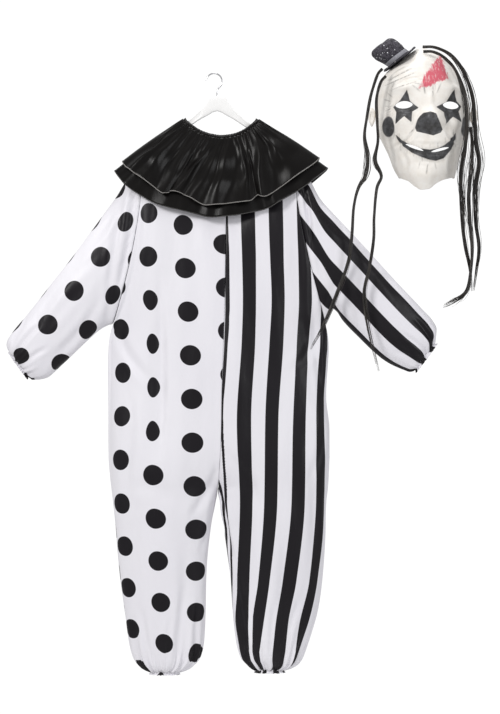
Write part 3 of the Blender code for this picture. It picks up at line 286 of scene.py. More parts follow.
WRINKLES = listed(Crease, [
    (0.462, -0.028, 0.54, 0.004, 0.006, 0.0026, 0.0018), (0.464, -0.015, 0.535, 0.018, 0.006, 0.0026, 0.0016),
    (0.48, -0.04, 0.548, -0.018, 0.006, 0.0026, 0.0018), (0.54, -0.022, 0.61, -0.026, -0.006, 0.0026, 0.0014),
    (0.57, -0.055, 0.566, -0.03, 0.002, 0.0022, 0.0022),
    (0.59, -0.058, 0.592, -0.034, -0.002, 0.0022, 0.0022), (0.545, -0.14, 0.487, -0.2, 0.012, 0.0045, 0.0034),
    (0.617, -0.14, 0.664, -0.196, -0.012, 0.0045, 0.0034),
    (0.482, -0.098, 0.462, -0.11, 0.003, 0.0022, 0.0014), (0.48, -0.09, 0.458, -0.094, 0.003, 0.0022, 0.0014),
    (0.5, -0.108, 0.532, -0.106, -0.004, 0.0026, 0.0016),
    (0.624, -0.106, 0.654, -0.108, -0.004, 0.0026, 0.0016),
    (0.505, -0.215, 0.515, -0.275, 0.006, 0.005, 0.0026),
    (0.642, -0.215, 0.634, -0.27, -0.006, 0.005, 0.0026), (0.548, -0.25, 0.585, -0.25, -0.005, 0.003, 0.0018),
])
STARS = [      # each eye's painted star, corner by corner
    [(0.5215, -0.0430), (0.5275, -0.0715), (0.5520, -0.0905), (0.5350, -0.1010), (0.5335, -0.1295),
     (0.5150, -0.1135), (0.4930, -0.1345), (0.4925, -0.1020), (0.4830, -0.0890), (0.5010, -0.0700)],
    [(0.6460, -0.0430), (0.6575, -0.0720), (0.6700, -0.0870), (0.6610, -0.1010), (0.6640, -0.1300),
     (0.6430, -0.1150), (0.6235, -0.1335), (0.6215, -0.1030), (0.6005, -0.0880), (0.6300, -0.0740)],
]
GRIN = [       # the painted mouth: along the upper lip, back along the lower lip
    (0.4900, -0.1630), (0.5112, -0.1815), (0.5337, -0.1930), (0.5585, -0.2010), (0.5832, -0.2040),
    (0.6057, -0.2000), (0.6237, -0.1910), (0.6395, -0.1770), (0.6520, -0.1580), (0.6510, -0.1780),
    (0.6400, -0.2030), (0.6192, -0.2270), (0.5990, -0.2340), (0.5787, -0.2300), (0.5585, -0.2225),
    (0.5337, -0.2115), (0.5112, -0.1945), (0.4955, -0.1760),
]
WOUND = [(0.6125, 0.0530), (0.5922, 0.0330), (0.5720, 0.0040), (0.5510, -0.0400), (0.5787, -0.0350),
         (0.6057, -0.0220), (0.6350, -0.0120), (0.6260, 0.0153), (0.6190, 0.0370)]
CHEEK_SPOTS = [(0.4716, -0.1422, 0.0172, 0.0275), (0.6760, -0.1420, 0.0110, 0.0260)]
NOSE_PAINT = [
    (0.5660, -0.1045), (0.5850, -0.1010), (0.6000, -0.1060), (0.6085, -0.1280), (0.6165, -0.1490),
    (0.6120, -0.1575), (0.5925, -0.1650), (0.5650, -0.1585), (0.5470, -0.1545), (0.5430, -0.1450),
    (0.5465, -0.1330), (0.5570, -0.1130),
]
STROKES = [    # thin brushed lines: from, to and width
    (0.462, -0.030, 0.540, 0.003, 0.0011), (0.466, -0.018, 0.534, 0.016, 0.0010),
    (0.482, -0.042, 0.546, -0.020, 0.0011), (0.540, -0.024, 0.560, -0.028, 0.0010),
    (0.570, -0.052, 0.566, -0.028, 0.0014), (0.590, -0.060, 0.592, -0.030, 0.0012),
    (0.480, -0.062, 0.466, -0.050, 0.0010), (0.476, -0.074, 0.458, -0.068, 0.0010),
    (0.478, -0.092, 0.462, -0.100, 0.0010), (0.500, -0.160, 0.504, -0.206, 0.0011),
    (0.490, -0.150, 0.484, -0.176, 0.0010), (0.520, -0.176, 0.522, -0.214, 0.0010),
    (0.541, -0.190, 0.540, -0.222, 0.0009), (0.562, -0.192, 0.562, -0.236, 0.0009),
    (0.583, -0.190, 0.583, -0.240, 0.0009), (0.604, -0.186, 0.606, -0.234, 0.0009),
    (0.624, -0.172, 0.630, -0.220, 0.0010), (0.644, -0.150, 0.652, -0.196, 0.0011),
    (0.577, -0.244, 0.573, -0.268, 0.0012), (0.556, -0.236, 0.552, -0.254, 0.0009),
    (0.596, -0.238, 0.600, -0.256, 0.0009), (0.540, -0.148, 0.528, -0.160, 0.0010),
    (0.536, -0.030, 0.556, -0.046, 0.0011), (0.602, -0.050, 0.612, -0.026, 0.0010),
]
EARS = ((0.4265, -0.1150, 0.010), (0.7030, -0.1160, 0.011))

HAT_FOOT = Vector((0.5020, -0.008, 0.0366))
HAT_LEAN = math.radians(-38.0)
BRIM_RADIUS = 0.053
CROWN_SKEW = 0.30             # how far the crown slumps sideways as it rises

HAIR = {
    "hair_left_outer": [
        (0.4500, -0.075, 0.0040), (0.4370, -0.080, -0.0120), (0.4210, -0.080, -0.0600),
        (0.4080, -0.076, -0.1300), (0.4030, -0.072, -0.1750), (0.4110, -0.070, -0.2350),
        (0.4050, -0.070, -0.2800), (0.3870, -0.070, -0.3100), (0.3740, -0.070, -0.3620),
        (0.3690, -0.070, -0.4400), (0.3590, -0.070, -0.5120), (0.3330, -0.070, -0.5850),
        (0.2940, -0.074, -0.6780), (0.2580, -0.076, -0.7430),
    ],
    "hair_left_inner": [
        (0.4590, -0.082, -0.0160), (0.4450, -0.086, -0.0330), (0.4340, -0.088, -0.0750),
        (0.4360, -0.084, -0.1400), (0.4380, -0.078, -0.1900), (0.4300, -0.074, -0.2400),
        (0.4470, -0.072, -0.2800), (0.4350, -0.072, -0.3150), (0.4280, -0.072, -0.3900),
        (0.4270, -0.072, -0.4500), (0.4160, -0.072, -0.5250), (0.4020, -0.072, -0.5950),
        (0.4120, -0.072, -0.6800), (0.4400, -0.072, -0.8020),
    ],
    "hair_right_outer": [
        (0.5610, -0.036, 0.0690), (0.5920, -0.046, 0.0660), (0.6290, -0.052, 0.0480),
        (0.6560, -0.060, 0.0180), (0.6780, -0.064, -0.0250), (0.6920, -0.066, -0.0750),
        (0.6960, -0.068, -0.1300), (0.7000, -0.066, -0.1850), (0.7090, -0.060, -0.2450),
        (0.7000, -0.052, -0.3200), (0.7020, -0.048, -0.4000), (0.7110, -0.048, -0.4700),
        (0.7040, -0.048, -0.5300), (0.6960, -0.048, -0.5860),
    ],
    "hair_right_inner": [
        (0.5610, -0.062, 0.0530), (0.5860, -0.074, 0.0500), (0.6140, -0.082, 0.0340),
        (0.6410, -0.086, 0.0050), (0.6590, -0.088, -0.0350), (0.6700, -0.090, -0.0850),
        (0.6740, -0.090, -0.1400), (0.6690, -0.084, -0.2050), (0.6600, -0.072, -0.2650),
        (0.6610, -0.064, -0.3300), (0.6660, -0.058, -0.4100), (0.6740, -0.056, -0.4700),
        (0.6860, -0.056, -0.5300), (0.6900, -0.056, -0.5880),
    ],
    "hair_right_tail": [
        (0.6860, -0.074, -0.1500), (0.6900, -0.072, -0.2000), (0.6880, -0.068, -0.2600),
        (0.6810, -0.066, -0.3300), (0.6840, -0.064, -0.4000), (0.6900, -0.064, -0.4700),
        (0.6860, -0.066, -0.5400), (0.6740, -0.068, -0.5900), (0.6410, -0.070, -0.6150),
        (0.6120, -0.070, -0.6300),
    ],
}


# ---------------------------------------------------------------- reading tables
def clamp(value, low=0.0, high=1.0):
    return max(low, min(high, value))


def ease(value):
    """Smooth step from 0 to 1."""
    value = clamp(value)
    return value * value * (3.0 - 2.0 * value)


def smooth_value(keys, values, key):
    """Smooth value at key through a table whose keys rise, with no overshoot."""
    if key <= keys[0]:
        return values[0]
    if key >= keys[-1]:
        return values[-1]
    slopes = [(b - a) / (q - p) for a, b, p, q in zip(values, values[1:], keys, keys[1:])]
    at = max(i for i in range(len(keys) - 1) if keys[i] <= key)

    def slope(i):
        if i == 0 or i == len(keys) - 1:
            return slopes[min(i, len(slopes) - 1)]
        before, after = slopes[i - 1], slopes[i]
        return 0.0 if before * after <= 0.0 else 2.0 * before * after / (before + after)

    span = keys[at + 1] - keys[at]
    t = (key - keys[at]) / span
    rise = values[at + 1] - values[at]
    start, end = slope(at) * span, slope(at + 1) * span
    return values[at] + t * (start + t * (3.0 * rise - 2.0 * start - end + t * (start + end - 2.0 * rise)))


class Track:
    """A table read smoothly, sampled once so that it can be read quickly, also by arrays."""

    def __init__(self, keys, values, samples=500):
        self.keys = np.linspace(keys[0], keys[-1], samples)
        self.values = np.array([smooth_value(keys, values, key) for key in self.keys])

    def __call__(self, key):
        return np.interp(key, self.keys, self.values)


def down_track(rows, column):
    """Column of a table that is listed from the top down, read by minus z."""
    return Track([-row.z for row in rows], [getattr(row, column) for row in rows])


def along_track(rows, column):
    """Column of a table, read by the share (0 to 1) of the way along its rows."""
    return Track([i / (len(rows) - 1) for i in range(len(rows))], [getattr(row, column) for row in rows])


def line_distance(x, z, crease):
    """How far a point lies off a bowed line, and the share of the way along it."""
    run_x, run_z = crease.x1 - crease.x0, crease.z1 - crease.z0
    length = math.hypot(run_x, run_z)
    share = ((x - crease.x0) * run_x + (z - crease.z0) * run_z) / length ** 2
    off = ((x - crease.x0) * -run_z + (z - crease.z0) * run_x) / length
    return off - crease.bend * math.sin(math.pi * clamp(share)), share


def crease_depth(x, z, creases):
    """How far the small creases sink the cloth: a soft trough with a low ridge on each side."""
    sink = 0.0
    for crease in creases:
        off, share = line_distance(x, z, crease)
        if -0.15 < share < 1.15 and abs(off) < 4.0 * crease.width:
            fade = ease((share + 0.15) / 0.4) * ease((1.15 - share) / 0.4)
            near = off / crease.width
            lip = 0.45 * math.exp(-((abs(near) - 1.9) ** 2))
            sink += crease.depth * fade * (math.exp(-near * near) - lip)
    return sink


def pleats(turn, count, seed):
    """Uneven pleats round a gathered edge, from -1 to 1; turn runs from 0 to 1 and closes."""
    angle = 2.0 * math.pi * turn
    across, along = math.cos(angle) * count, math.sin(angle) * count
    loose = noise.noise(Vector((across * 0.16, along * 0.16, seed)))
    height = 0.75 + 0.5 * noise.noise(Vector((across * 0.1, along * 0.1, seed + 7.0)))
    return height * math.cos(count * angle + 3.2 * loose)


# ---------------------------------------------------------------- the jumpsuit's form
arm_top = Track([row.reach for row in ARMS], [row.top for row in ARMS])
centre_x = down_track(CENTRE_SEAM, "x")
centre_depth = down_track(CENTRE_SEAM, "depth")


def hanger_top(x):
    return arm_top(abs(x - HANGER_X))


class Half:
    """One half of the jumpsuit, dotted or striped: the form of its front, back and sleeve."""

    def __init__(self, name, way, sections, rings, folds, bow):
        self.name = name
        self.way = way
        self.lowest = sections[-1].z
        self.foot = sections[-1]
        self.inner, self.outer, self.leg = (down_track(sections, c) for c in ("inner", "outer", "depth"))
        self.folds = folds
        self.rings = rings
        self.ring_tracks = [along_track(rings, column) for column in Ring._fields]
        self.shoulder = rings[0]
        self.bow = bow
        self.centre_top = centre_x(NECK_DROP)
        self.reach = self.shoulder.upper_x - self.centre_top
        neck_x = HANGER_X + way * NECK_HALF_WIDTH
        self.neck_share = (neck_x - self.centre_top) / self.reach
        self.neck_z = hanger_top(neck_x) + SHOULDER_CLEAR
        self.mid_z = (self.shoulder.upper_z + self.shoulder.lower_z) / 2
        self.half_z = (self.shoulder.upper_z - self.shoulder.lower_z) / 2

    def armhole(self, angle):
        """Point of the armhole; angle 0 is the shoulder, a half turn the underarm, front first."""
        ring = self.shoulder
        turn = math.sin(angle)
        x = (ring.upper_x + ring.lower_x) / 2 + (ring.upper_x - ring.lower_x) / 2 * math.cos(angle)
        y = -ring.depth * math.copysign(abs(turn) ** SLEEVE_FULLNESS, turn)
        return Vector((x + self.bow * turn * turn, y, self.mid_z + self.half_z * math.cos(angle)))

    def top_edge(self, share):
        turn_share = self.neck_share - NECK_TURN
        if share < turn_share:
            return -NECK_DROP + (self.neck_z - NECK_DIP + NECK_DROP) * (share / turn_share) ** NECK_CURVE
        if share < self.neck_share:
            return self.neck_z - NECK_DIP * (self.neck_share - share) / NECK_TURN
        x = self.centre_top + self.reach * share
        tip_z = hanger_top(self.shoulder.upper_x) + SHOULDER_CLEAR
        return hanger_top(x) + SHOULDER_CLEAR + (self.shoulder.upper_z - tip_z) * share ** 8

    def fold_depth(self, x, z):
        """How far the largest folds sink the cloth."""
        sink = 0.0
        for fold in self.folds:
            down = (fold.z_top - z) / (fold.z_top - fold.z_low)
            if 0.0 < down < 1.0:
                line = fold.x_top + (fold.x_low - fold.x_top) * down
                near = math.exp(-((x - line) / fold.width) ** 2)
                sink += fold.depth * math.sin(math.pi * down) ** 0.7 * near
        return sink

    def upper(self, share, down):
        """Body between shoulder (down 0) and underarm (1): x, half depth and z."""
        swing = (0.5 + 0.5 * down ** 6) * math.pi / 2
        across = math.sin(share * swing) / math.sin(swing)
        bend = (math.cos(share * swing) - math.cos(swing)) / (1.0 - math.cos(swing))
        top = self.top_edge(across)
        z = top + (UNDERARM_Z - top) * down
        side_z = self.shoulder.upper_z + (UNDERARM_Z - self.shoulder.upper_z) * down
        edge = self.armhole(math.acos(clamp((side_z - self.mid_z) / self.half_z, -1.0, 1.0)))
        centre = centre_x(-z)
        x = centre + (edge.x - centre) * across
        fall = top - z
        turn = clamp(fall / SHOULDER_RADIUS)
        over_arm = max(SHOULDER_RADIUS * math.sqrt(1.0 - (1.0 - turn) ** 2),
                       NECK_OPEN * clamp((self.neck_share - across) / NECK_TURN))
        depth = math.hypot(over_arm, centre_depth(-z) * ease(fall / FRONT_FALL))
        depth = abs(edge.y) + (depth - abs(edge.y)) * bend
        return x, depth - self.fold_depth(x, z) * bend, z

    def lower(self, share, z):
        """Body and leg below the underarm: x, half depth and z."""
        inner, outer = self.inner(-z), self.outer(-z)
        rise = clamp((z - CROTCH_Z) / CROTCH_RISE)
        joined = math.sqrt(rise * (2.0 - rise))
        parted = ease((HIP_Z - z) / (HIP_Z - CROTCH_Z))
        turn = share * math.pi / 2
        level = 1.0 - parted + 0.25 * parted * joined
        across = level * math.sin(turn) + (1.0 - level) * math.sin(turn) ** 2
        legs = math.hypot(joined * math.cos(turn) ** 2, math.sin(2.0 * turn))
        depth = (1.0 - parted) * centre_depth(-z) * math.cos(turn) + parted * self.leg(-z) * legs
        x = inner + (outer - inner) * across
        return x, depth - self.fold_depth(x, z) * math.sin(2.0 * turn), z

    def panel(self, face):
        """Surface of the front (-1) or the back (+1) panel: u from the centre seam, v down."""
        def surface(u, v):
            if v < UPPER_SHARE:
                x, depth, z = self.upper(u, (v / UPPER_SHARE) ** 1.2)
            else:
                down = (v - UPPER_SHARE) / (1.0 - UPPER_SHARE)
                fall = (self.lowest - UNDERARM_Z) * down * (1.35 - 0.35 * down)
                x, depth, z = self.lower(u, UNDERARM_Z + fall)
            return Vector((x + self.way * LINE_SHIFT, face * (depth + LINE_SHIFT), z))

        return surface

    def sleeve(self, u, v):
        """Sleeve surface: u runs round from the top edge by the front, v from armhole to wrist."""
        angle = 2.0 * math.pi * u
        shift = Vector((self.way * 0.8, 0.0, -0.6)) * LINE_SHIFT * 3.2
        if v <= 0.0:
            return self.armhole(angle) + shift
        ux, uz, lx, lz, depth = (track(v) for track in self.ring_tracks)
        turn, side = math.sin(angle), math.cos(angle)
        bow = self.bow * turn * turn * (1.0 - ease(v * 4.0))
        x = (ux + lx) / 2 + (ux - lx) / 2 * side + bow
        y = -depth * math.copysign(abs(turn) ** SLEEVE_FULLNESS, turn)
        return Vector((x, y, (uz + lz) / 2 + (uz - lz) / 2 * side)) + shift

    def sleeve_from_seam(self, u, v):
        """The same surface, with its rounds begun at the underarm seam."""
        return self.sleeve((u + 0.5) % 1.0, v)

    def sleeve_ends(self):
        """Middle of the sleeve at the armhole, and at the wrist."""
        return [(self.sleeve(0.0, v) + self.sleeve(0.5, v)) / 2 for v in (0.0, 1.0)]


DOT_HALF = Half("dot", -1.0, DOT_SECTIONS, DOT_RINGS, DOT_FOLDS, 0.018)
STRIPE_HALF = Half("stripe", 1.0, STRIPE_SECTIONS, STRIPE_RINGS, STRIPE_FOLDS, -0.011)


# ---------------------------------------------------------------- finishes
class Signal:
    """A value on its way through a finish; Python operators add its maths."""

    def __init__(self, finish, socket):
        self.finish = finish
        self.socket = socket

    def math(self, operation, first, second=0.0):
        return self.finish.node("ShaderNodeMath", {"operation": operation}, {0: first, 1: second})

    def __add__(self, other):
        return self.math("ADD", self, other)

    def __sub__(self, other):
        return self.math("SUBTRACT", self, other)

    def __rsub__(self, other):
        return self.math("SUBTRACT", other, self)

    def __mul__(self, other):
        return self.math("MULTIPLY", self, other)

    def __truediv__(self, other):
        return self.math("DIVIDE", self, other)

    def __abs__(self):
        return self.math("ABSOLUTE", self)

    __radd__ = __add__
    __rmul__ = __mul__

    def floor(self):
        return self.math("FLOOR", self)

    def root(self):
        return self.math("SQRT", self)

    def wave(self):
        return self.math("SINE", self)

    def ramp(self, low, high):
        """0 at low, 1 at high, straight between and held beyond."""
        return self.finish.node("ShaderNodeMapRange", {"clamp": True},
                                {"Value": self, "From Min": low, "From Max": high})

    def larger(self, other):
        return self.math("MAXIMUM", self, other)

    def smaller(self, other):
        return self.math("MINIMUM", self, other)


class Finish:
    """A material, made node by node around one Principled shader."""

    def __init__(self, name, roughness=0.5, **fixed):
        self.material = bpy.data.materials.new(name)
        self.material.use_nodes = True
        self.tree = self.material.node_tree
        self.shader = self.tree.nodes["Principled BSDF"]
        self.shader.inputs["Roughness"].default_value = roughness
        for label, value in fixed.items():
            self.shader.inputs[label.replace("_", " ").title().replace("Ior", "IOR")].default_value = value

    def node(self, kind, settings=(), inputs=(), output=0):
        """Any node: its settings first, then the values or links of its sockets."""
        made = self.tree.nodes.new(kind)
        for label, value in dict(settings).items():
            setattr(made, label, value)
        for label, value in dict(inputs).items():
            self.feed(made.inputs[label], value)
        return Signal(self, made.outputs[output])

    def feed(self, socket, value):
        if isinstance(value, Signal):
            self.tree.links.new(value.socket, socket)
        else:
            socket.default_value = value

    def place(self, across=1.0, down=1.0, deep=1.0):
        """Object coordinates in metres, stretched along each axis."""
        point = self.node("ShaderNodeTexCoord", output=3)
        scale = {0: point, 1: (across, deep, down)}
        return self.node("ShaderNodeVectorMath", {"operation": "MULTIPLY"}, scale)

    def cloth(self):
        """The cloth's own flat place, in metres across and along its cut."""
        flat = self.node("ShaderNodeUVMap", {"uv_map": "cloth"})
        parts = self.tree.nodes.new("ShaderNodeSeparateXYZ")
        self.tree.links.new(flat.socket, parts.inputs[0])
        return Signal(self, parts.outputs[0]), Signal(self, parts.outputs[1])

    def painted(self, name):
        settings = {"attribute_type": "GEOMETRY", "attribute_name": name}
        return self.node("ShaderNodeAttribute", settings, output=2)

    def grain(self, scale, detail=2.0, where=None, rough=0.5):
        inputs = {"Vector": where or self.place(), "Scale": scale, "Detail": detail, "Roughness": rough}
        return self.node("ShaderNodeTexNoise", {}, inputs)

    def specks(self, scale):
        return self.node("ShaderNodeTexVoronoi", {}, {"Vector": self.place(), "Scale": scale})

    def blend(self, share, first, second):
        settings = {"data_type": "RGBA", "blend_type": "MIX"}
        inputs = {0: share, 6: (*first, 1.0) if isinstance(first, tuple) else first,
                  7: (*second, 1.0) if isinstance(second, tuple) else second}
        return self.node("ShaderNodeMix", settings, inputs, output=2)

    def colour(self, value):
        self.feed(self.shader.inputs["Base Color"], (*value, 1.0) if isinstance(value, tuple) else value)

    def rough(self, value):
        self.feed(self.shader.inputs["Roughness"], value)

    def relief(self, height, distance):
        bump = self.node("ShaderNodeBump", {}, {"Height": height, "Distance": distance, "Strength": 1.0})
        self.feed(self.shader.inputs["Normal"], bump)


def satin_weave(finish, across, along):
    """Fine satin floats: long threads along the cloth, crossed by short ones."""
    long_threads = (across * (2.0 * math.pi / THREAD_PITCH)).wave()
    short_threads = (along * (2.0 * math.pi / FLOAT_PITCH)).wave()
    crumple = finish.grain(1.0, 3.0, finish.place(13.0, 4.0, 13.0), 0.45)
    fine = finish.grain(1.0, 2.0, finish.place(75.0, 30.0, 75.0), 0.5)
    return crumple + fine * 0.07 + long_threads * 0.0010 + short_threads * 0.0008


def print_colour(finish, mark):
    """White satin where mark is 0, black print where it is 1, each a little uneven."""
    cloud = finish.grain(1.0, 2.0, finish.place(5.0, 3.0, 5.0))
    white = finish.blend(cloud, (0.775, 0.760, 0.815), (0.86, 0.85, 0.89))
    black = finish.blend(cloud, (0.0055, 0.0045, 0.0062), (0.0115, 0.0095, 0.0130))
    finish.colour(finish.blend(mark, white, black))
    finish.rough(cloud * 0.10 + 0.36 - mark * 0.02)


def dot_satin():
    finish = Finish("white satin with black dots", specular_ior_level=0.22)
    across, along = finish.cloth()
    column = (across / DOT_PITCH + 0.5).floor()
    odd = abs(column * 0.5 - (column * 0.5).floor()) * 2.0
    off_x = across - column * DOT_PITCH
    row = along / DOT_DROP + odd * 0.5
    off_z = (row - (row + 0.5).floor()) * DOT_DROP
    bleed = finish.grain(900.0, 1.0) * 0.0008
    reach = (off_x * off_x + off_z * off_z).root() + bleed
    mark = reach.ramp(DOT_RADIUS + 0.0008, DOT_RADIUS - 0.0001)
    print_colour(finish, mark)
    finish.relief(satin_weave(finish, across, along), 0.006)
    return finish.material


def stripe_satin():
    finish = Finish("white satin with black stripes", specular_ior_level=0.26)
    across, along = finish.cloth()
    place = across / (2.0 * STRIPE_WIDTH) + finish.grain(900.0, 1.0) * 0.008
    off = abs(place - place.floor() - 0.254)
    mark = off.smaller(1.0 - off).ramp(0.257, 0.245)
    print_colour(finish, mark)
    finish.relief(satin_weave(finish, across, along), 0.006)
    return finish.material


def black_satin():
    finish = Finish("black collar satin", specular_ior_level=0.14)
    across, along = finish.cloth()
    cloud = finish.grain(1.0, 2.0, finish.place(9.0, 9.0, 9.0))
    finish.colour(finish.blend(cloud, (0.0030, 0.0026, 0.0025), (0.0065, 0.0056, 0.0052)))
    finish.rough(cloud * 0.14 + 0.24)
    finish.relief(satin_weave(finish, across, along), 0.005)
    return finish.material


def thread_finish(name, colour):
    """Overlocked edge: slanting threads side by side, with painted shade in the grooves between them."""
    finish = Finish(name, 0.6, sheen_weight=0.2)
    across, along = finish.cloth()
    slant = ((across + along * 0.6) * (2.0 * math.pi / 0.0022)).wave()
    # painted shade: the thread is darker in the grooves between threads
    dark = tuple(part * 0.35 for part in colour)
    finish.colour(finish.blend(slant * 0.5 + 0.5, dark, colour))
    finish.relief(slant, 0.0006)
    return finish.material


def hanger_plastic():
    finish = Finish("white moulded plastic", specular_ior_level=0.5)
    cloud = finish.grain(30.0, 3.0)
    finish.colour(finish.blend(cloud, (0.90, 0.895, 0.89), (0.95, 0.945, 0.94)))
    finish.rough(cloud * 0.12 + 0.30)
    finish.relief(finish.grain(900.0, 2.0), 0.00008)
    return finish.material


def bright_wire():
    finish = Finish("bright wire", metallic=1.0)
    drawn = finish.grain(1.0, 3.0, finish.place(2500.0, 160.0, 2500.0))
    finish.colour(finish.blend(drawn, (0.62, 0.62, 0.64), (0.80, 0.80, 0.82)))
    finish.rough(drawn * 0.15 + 0.14)
    finish.relief(drawn, 0.00004)
    return finish.material


def moulded_latex(painted=True):
    """Cream latex with soft mottling; on the outside, brushed paint over it, and grey lines with painted
    shade.
    """
    finish = Finish("painted latex" if painted else "bare latex", specular_ior_level=0.4)
    mottle = finish.grain(38.0, 5.0, rough=0.6)
    pores = finish.grain(520.0, 2.0)
    base = finish.blend(mottle.ramp(0.3, 0.7), (0.86, 0.81, 0.745), (0.95, 0.925, 0.885))
    if not painted:
        finish.colour(base)
        finish.rough(mottle * 0.16 + 0.50)
        finish.relief(mottle * 0.5 + pores * 0.20, 0.0012)
        return finish.material
    brush = finish.grain(1.0, 4.0, finish.place(190.0, 60.0, 120.0), 0.6)
    # grey brushed lines, and painted shade round the eyes, the grin and the cheek spots and towards the sides
    smoke = (finish.painted("smoke") * brush.ramp(0.25, 0.65)).ramp(0.0, 1.0)
    red = (finish.painted("red") * 1.35 - brush.ramp(0.30, 0.64) * 0.98).ramp(0.0, 0.70)
    worn = finish.grain(1.0, 3.0, finish.place(70.0, 60.0, 45.0), 0.6)
    black = (finish.painted("black") * 1.3 - brush * 0.30).ramp(0.15, 0.60)
    tint = finish.blend(smoke, base, (0.085, 0.075, 0.068))
    tint = finish.blend(red * 0.92, tint, (0.70, 0.075, 0.13))
    paint = finish.blend(worn.ramp(0.40, 0.75), (0.016, 0.016, 0.018), (0.095, 0.098, 0.108))
    tint = finish.blend(black * 0.97, tint, paint)
    finish.colour(tint)
    finish.rough(mottle * 0.16 + 0.42 - black * 0.12)
    finish.relief(mottle * 0.5 + pores * 0.20 + brush * 0.15, 0.0012)
    return finish.material


def glitter_felt():
    finish = Finish("glitter felt", specular_ior_level=0.5)
    fibre = finish.grain(160.0, 5.0, rough=0.75)
    dust = finish.specks(520.0)
    flake = finish.specks(125.0)
    sparkle = flake.ramp(0.24, 0.17).larger(dust.ramp(0.22, 0.12) * 0.30)
    felt = finish.blend(fibre.ramp(0.38, 0.66), (0.010, 0.009, 0.013), (0.085, 0.078, 0.098))
    finish.colour(finish.blend(sparkle, felt, (0.88, 0.88, 0.92)))
    finish.rough(0.85 - sparkle * 0.65)
    finish.feed(finish.shader.inputs["Metallic"], sparkle * 0.5)
    finish.relief(fibre + sparkle * 0.4, 0.0012)
    return finish.material


def silver_ribbon():
    finish = Finish("silver ribbon", metallic=0.35, specular_ior_level=0.6)
    weave = finish.grain(1.0, 2.0, finish.place(900.0, 900.0, 900.0))
    glint = finish.specks(520.0).ramp(0.20, 0.10)
    finish.colour(finish.blend(weave, (0.22, 0.22, 0.25), (0.48, 0.48, 0.52)))
    finish.rough(0.45 - glint * 0.25)
    finish.relief(weave + glint * 0.5, 0.0005)
    return finish.material


def long_hair():
    finish = Finish("long black hair", specular_ior_level=0.6)
    strand = finish.grain(1.0, 2.0, finish.place(260.0, 18.0, 260.0))
    finish.colour(finish.blend(strand.ramp(0.35, 0.70), (0.006, 0.005, 0.005), (0.050, 0.042, 0.034)))
    finish.rough(strand * 0.20 + 0.30)
    finish.relief(strand, 0.0006)
    return finish.material


def woven_elastic():
    finish = Finish("woven elastic", 0.8, sheen_weight=0.3)
    across, along = finish.cloth()
    ribs = (along * (2.0 * math.pi / RIB_PITCH)).wave()
    threads = (across * (2.0 * math.pi / CORD_PITCH)).wave()
    # painted light and shade: lighter on the ribs, darker between them
    finish.colour(finish.blend(ribs * 0.5 + 0.5, (0.008, 0.008, 0.008), (0.030, 0.030, 0.030)))
    finish.relief(ribs + threads * 0.4, 0.0005)
    return finish.material


# ---------------------------------------------------------------- laying surfaces
DOWN = Vector((0.0, 0.0, -1.0))
FORWARD = Vector((0.0, -1.0, 0.0))


def run_lengths(points):
    """Length along a row of points, from its first point to each."""
    return np.concatenate(([0.0], np.cumsum(np.linalg.norm(np.diff(points, axis=0), axis=1))))


def plain_chart(spots):
    """Flat place of each spot where nothing is printed: lengths along the middle row and column."""
    across = run_lengths(spots[len(spots) // 2])
    along = run_lengths(spots[:, spots.shape[1] // 2])
    return np.dstack(np.meshgrid(across, along))


def away_from(start, end):
    """Direction out of a tube whose middle runs from start to end."""
    axis = (end - start).normalized()
    return lambda point: (point - start) - axis * (point - start).dot(axis)


def lay(name, form, grid, relief=None, facing=None, chart=plain_chart, wrap=False, marks=None, cut=None,
        even=False):
    """A surface laid on form(u, v). Its chart gives each spot's flat place, relief moves it out or
    in along its normal, marks are painted values, and even smooths the join below the underarm.
    Returns the object, where its spots lie, and their flat places."""
    columns, rows = grid
    spots = np.array([[form(i / columns, j / rows) for i in range(columns + 1)] for j in range(rows + 1)])
    for _ in range(JOIN_PASSES if even else 0):
        part = spots[round(JOIN_SPAN[0] * rows):round(JOIN_SPAN[1] * rows)]
        part[1:-1] = (part[:-2] + 2.0 * part[1:-1] + part[2:]) / 4.0
    flat = chart(spots)
    bm = bmesh.new()
    bmesh.ops.create_grid(bm, x_segments=columns, y_segments=rows, size=0.5)
    home = bm.verts.layers.float_vector.new("home")
    for vertex in bm.verts:
        i, j = round((vertex.co.x + 0.5) * columns), round((0.5 - vertex.co.y) * rows)
        vertex[home] = (i, j, 0.0)
        vertex.co = spots[j, i]
    cloth = bm.loops.layers.uv.new("cloth")
    for face in bm.faces:
        for loop in face.loops:
            i, j, _ = loop.vert[home]
            loop[cloth].uv = flat[round(j), round(i)]
    for label, values in (marks(spots) if marks else {}).items():
        layer = bm.verts.layers.float.new(label)
        for vertex in bm.verts:
            vertex[layer] = values[round(vertex[home].y), round(vertex[home].x)]
    if wrap:
        bmesh.ops.remove_doubles(bm, verts=bm.verts, dist=2e-6)
    bm.normal_update()
    if facing and sum(face.normal.dot(facing(face.calc_center_median())) * face.calc_area()
                      for face in bm.faces) < 0.0:
        bmesh.ops.reverse_faces(bm, faces=bm.faces)
        bm.normal_update()
    if relief:
        moves = [vertex.normal * relief(vertex[home].x / columns, vertex[home].y / rows, vertex.co)
                 for vertex in bm.verts]
        for vertex, move in zip(bm.verts, moves):
            vertex.co += move
    laid = spots.copy()
    for vertex in bm.verts:
        i, j = round(vertex[home].x), round(vertex[home].y)
        laid[j, i] = vertex.co
        if wrap and i in (0, columns):
            laid[j, columns - i] = vertex.co
    bm.verts.layers.float_vector.remove(home)
    if cut:
        cut(bm)
    return add_piece(name, bm), laid, flat


def add_piece(name, bm):
    mesh = bpy.data.meshes.new(name)
    bm.to_mesh(mesh)
    bm.free()
    mesh.shade_smooth()
    piece = bpy.data.objects.new(name, mesh)
    bpy.context.scene.collection.objects.link(piece)
    return piece


def give_wall(piece, thickness):
    """Cloth's thickness, on the inside of the laid surface."""
    wall = piece.modifiers.new("wall", "SOLIDIFY")
    wall.thickness = thickness
    wall.offset = -1.0
    return piece


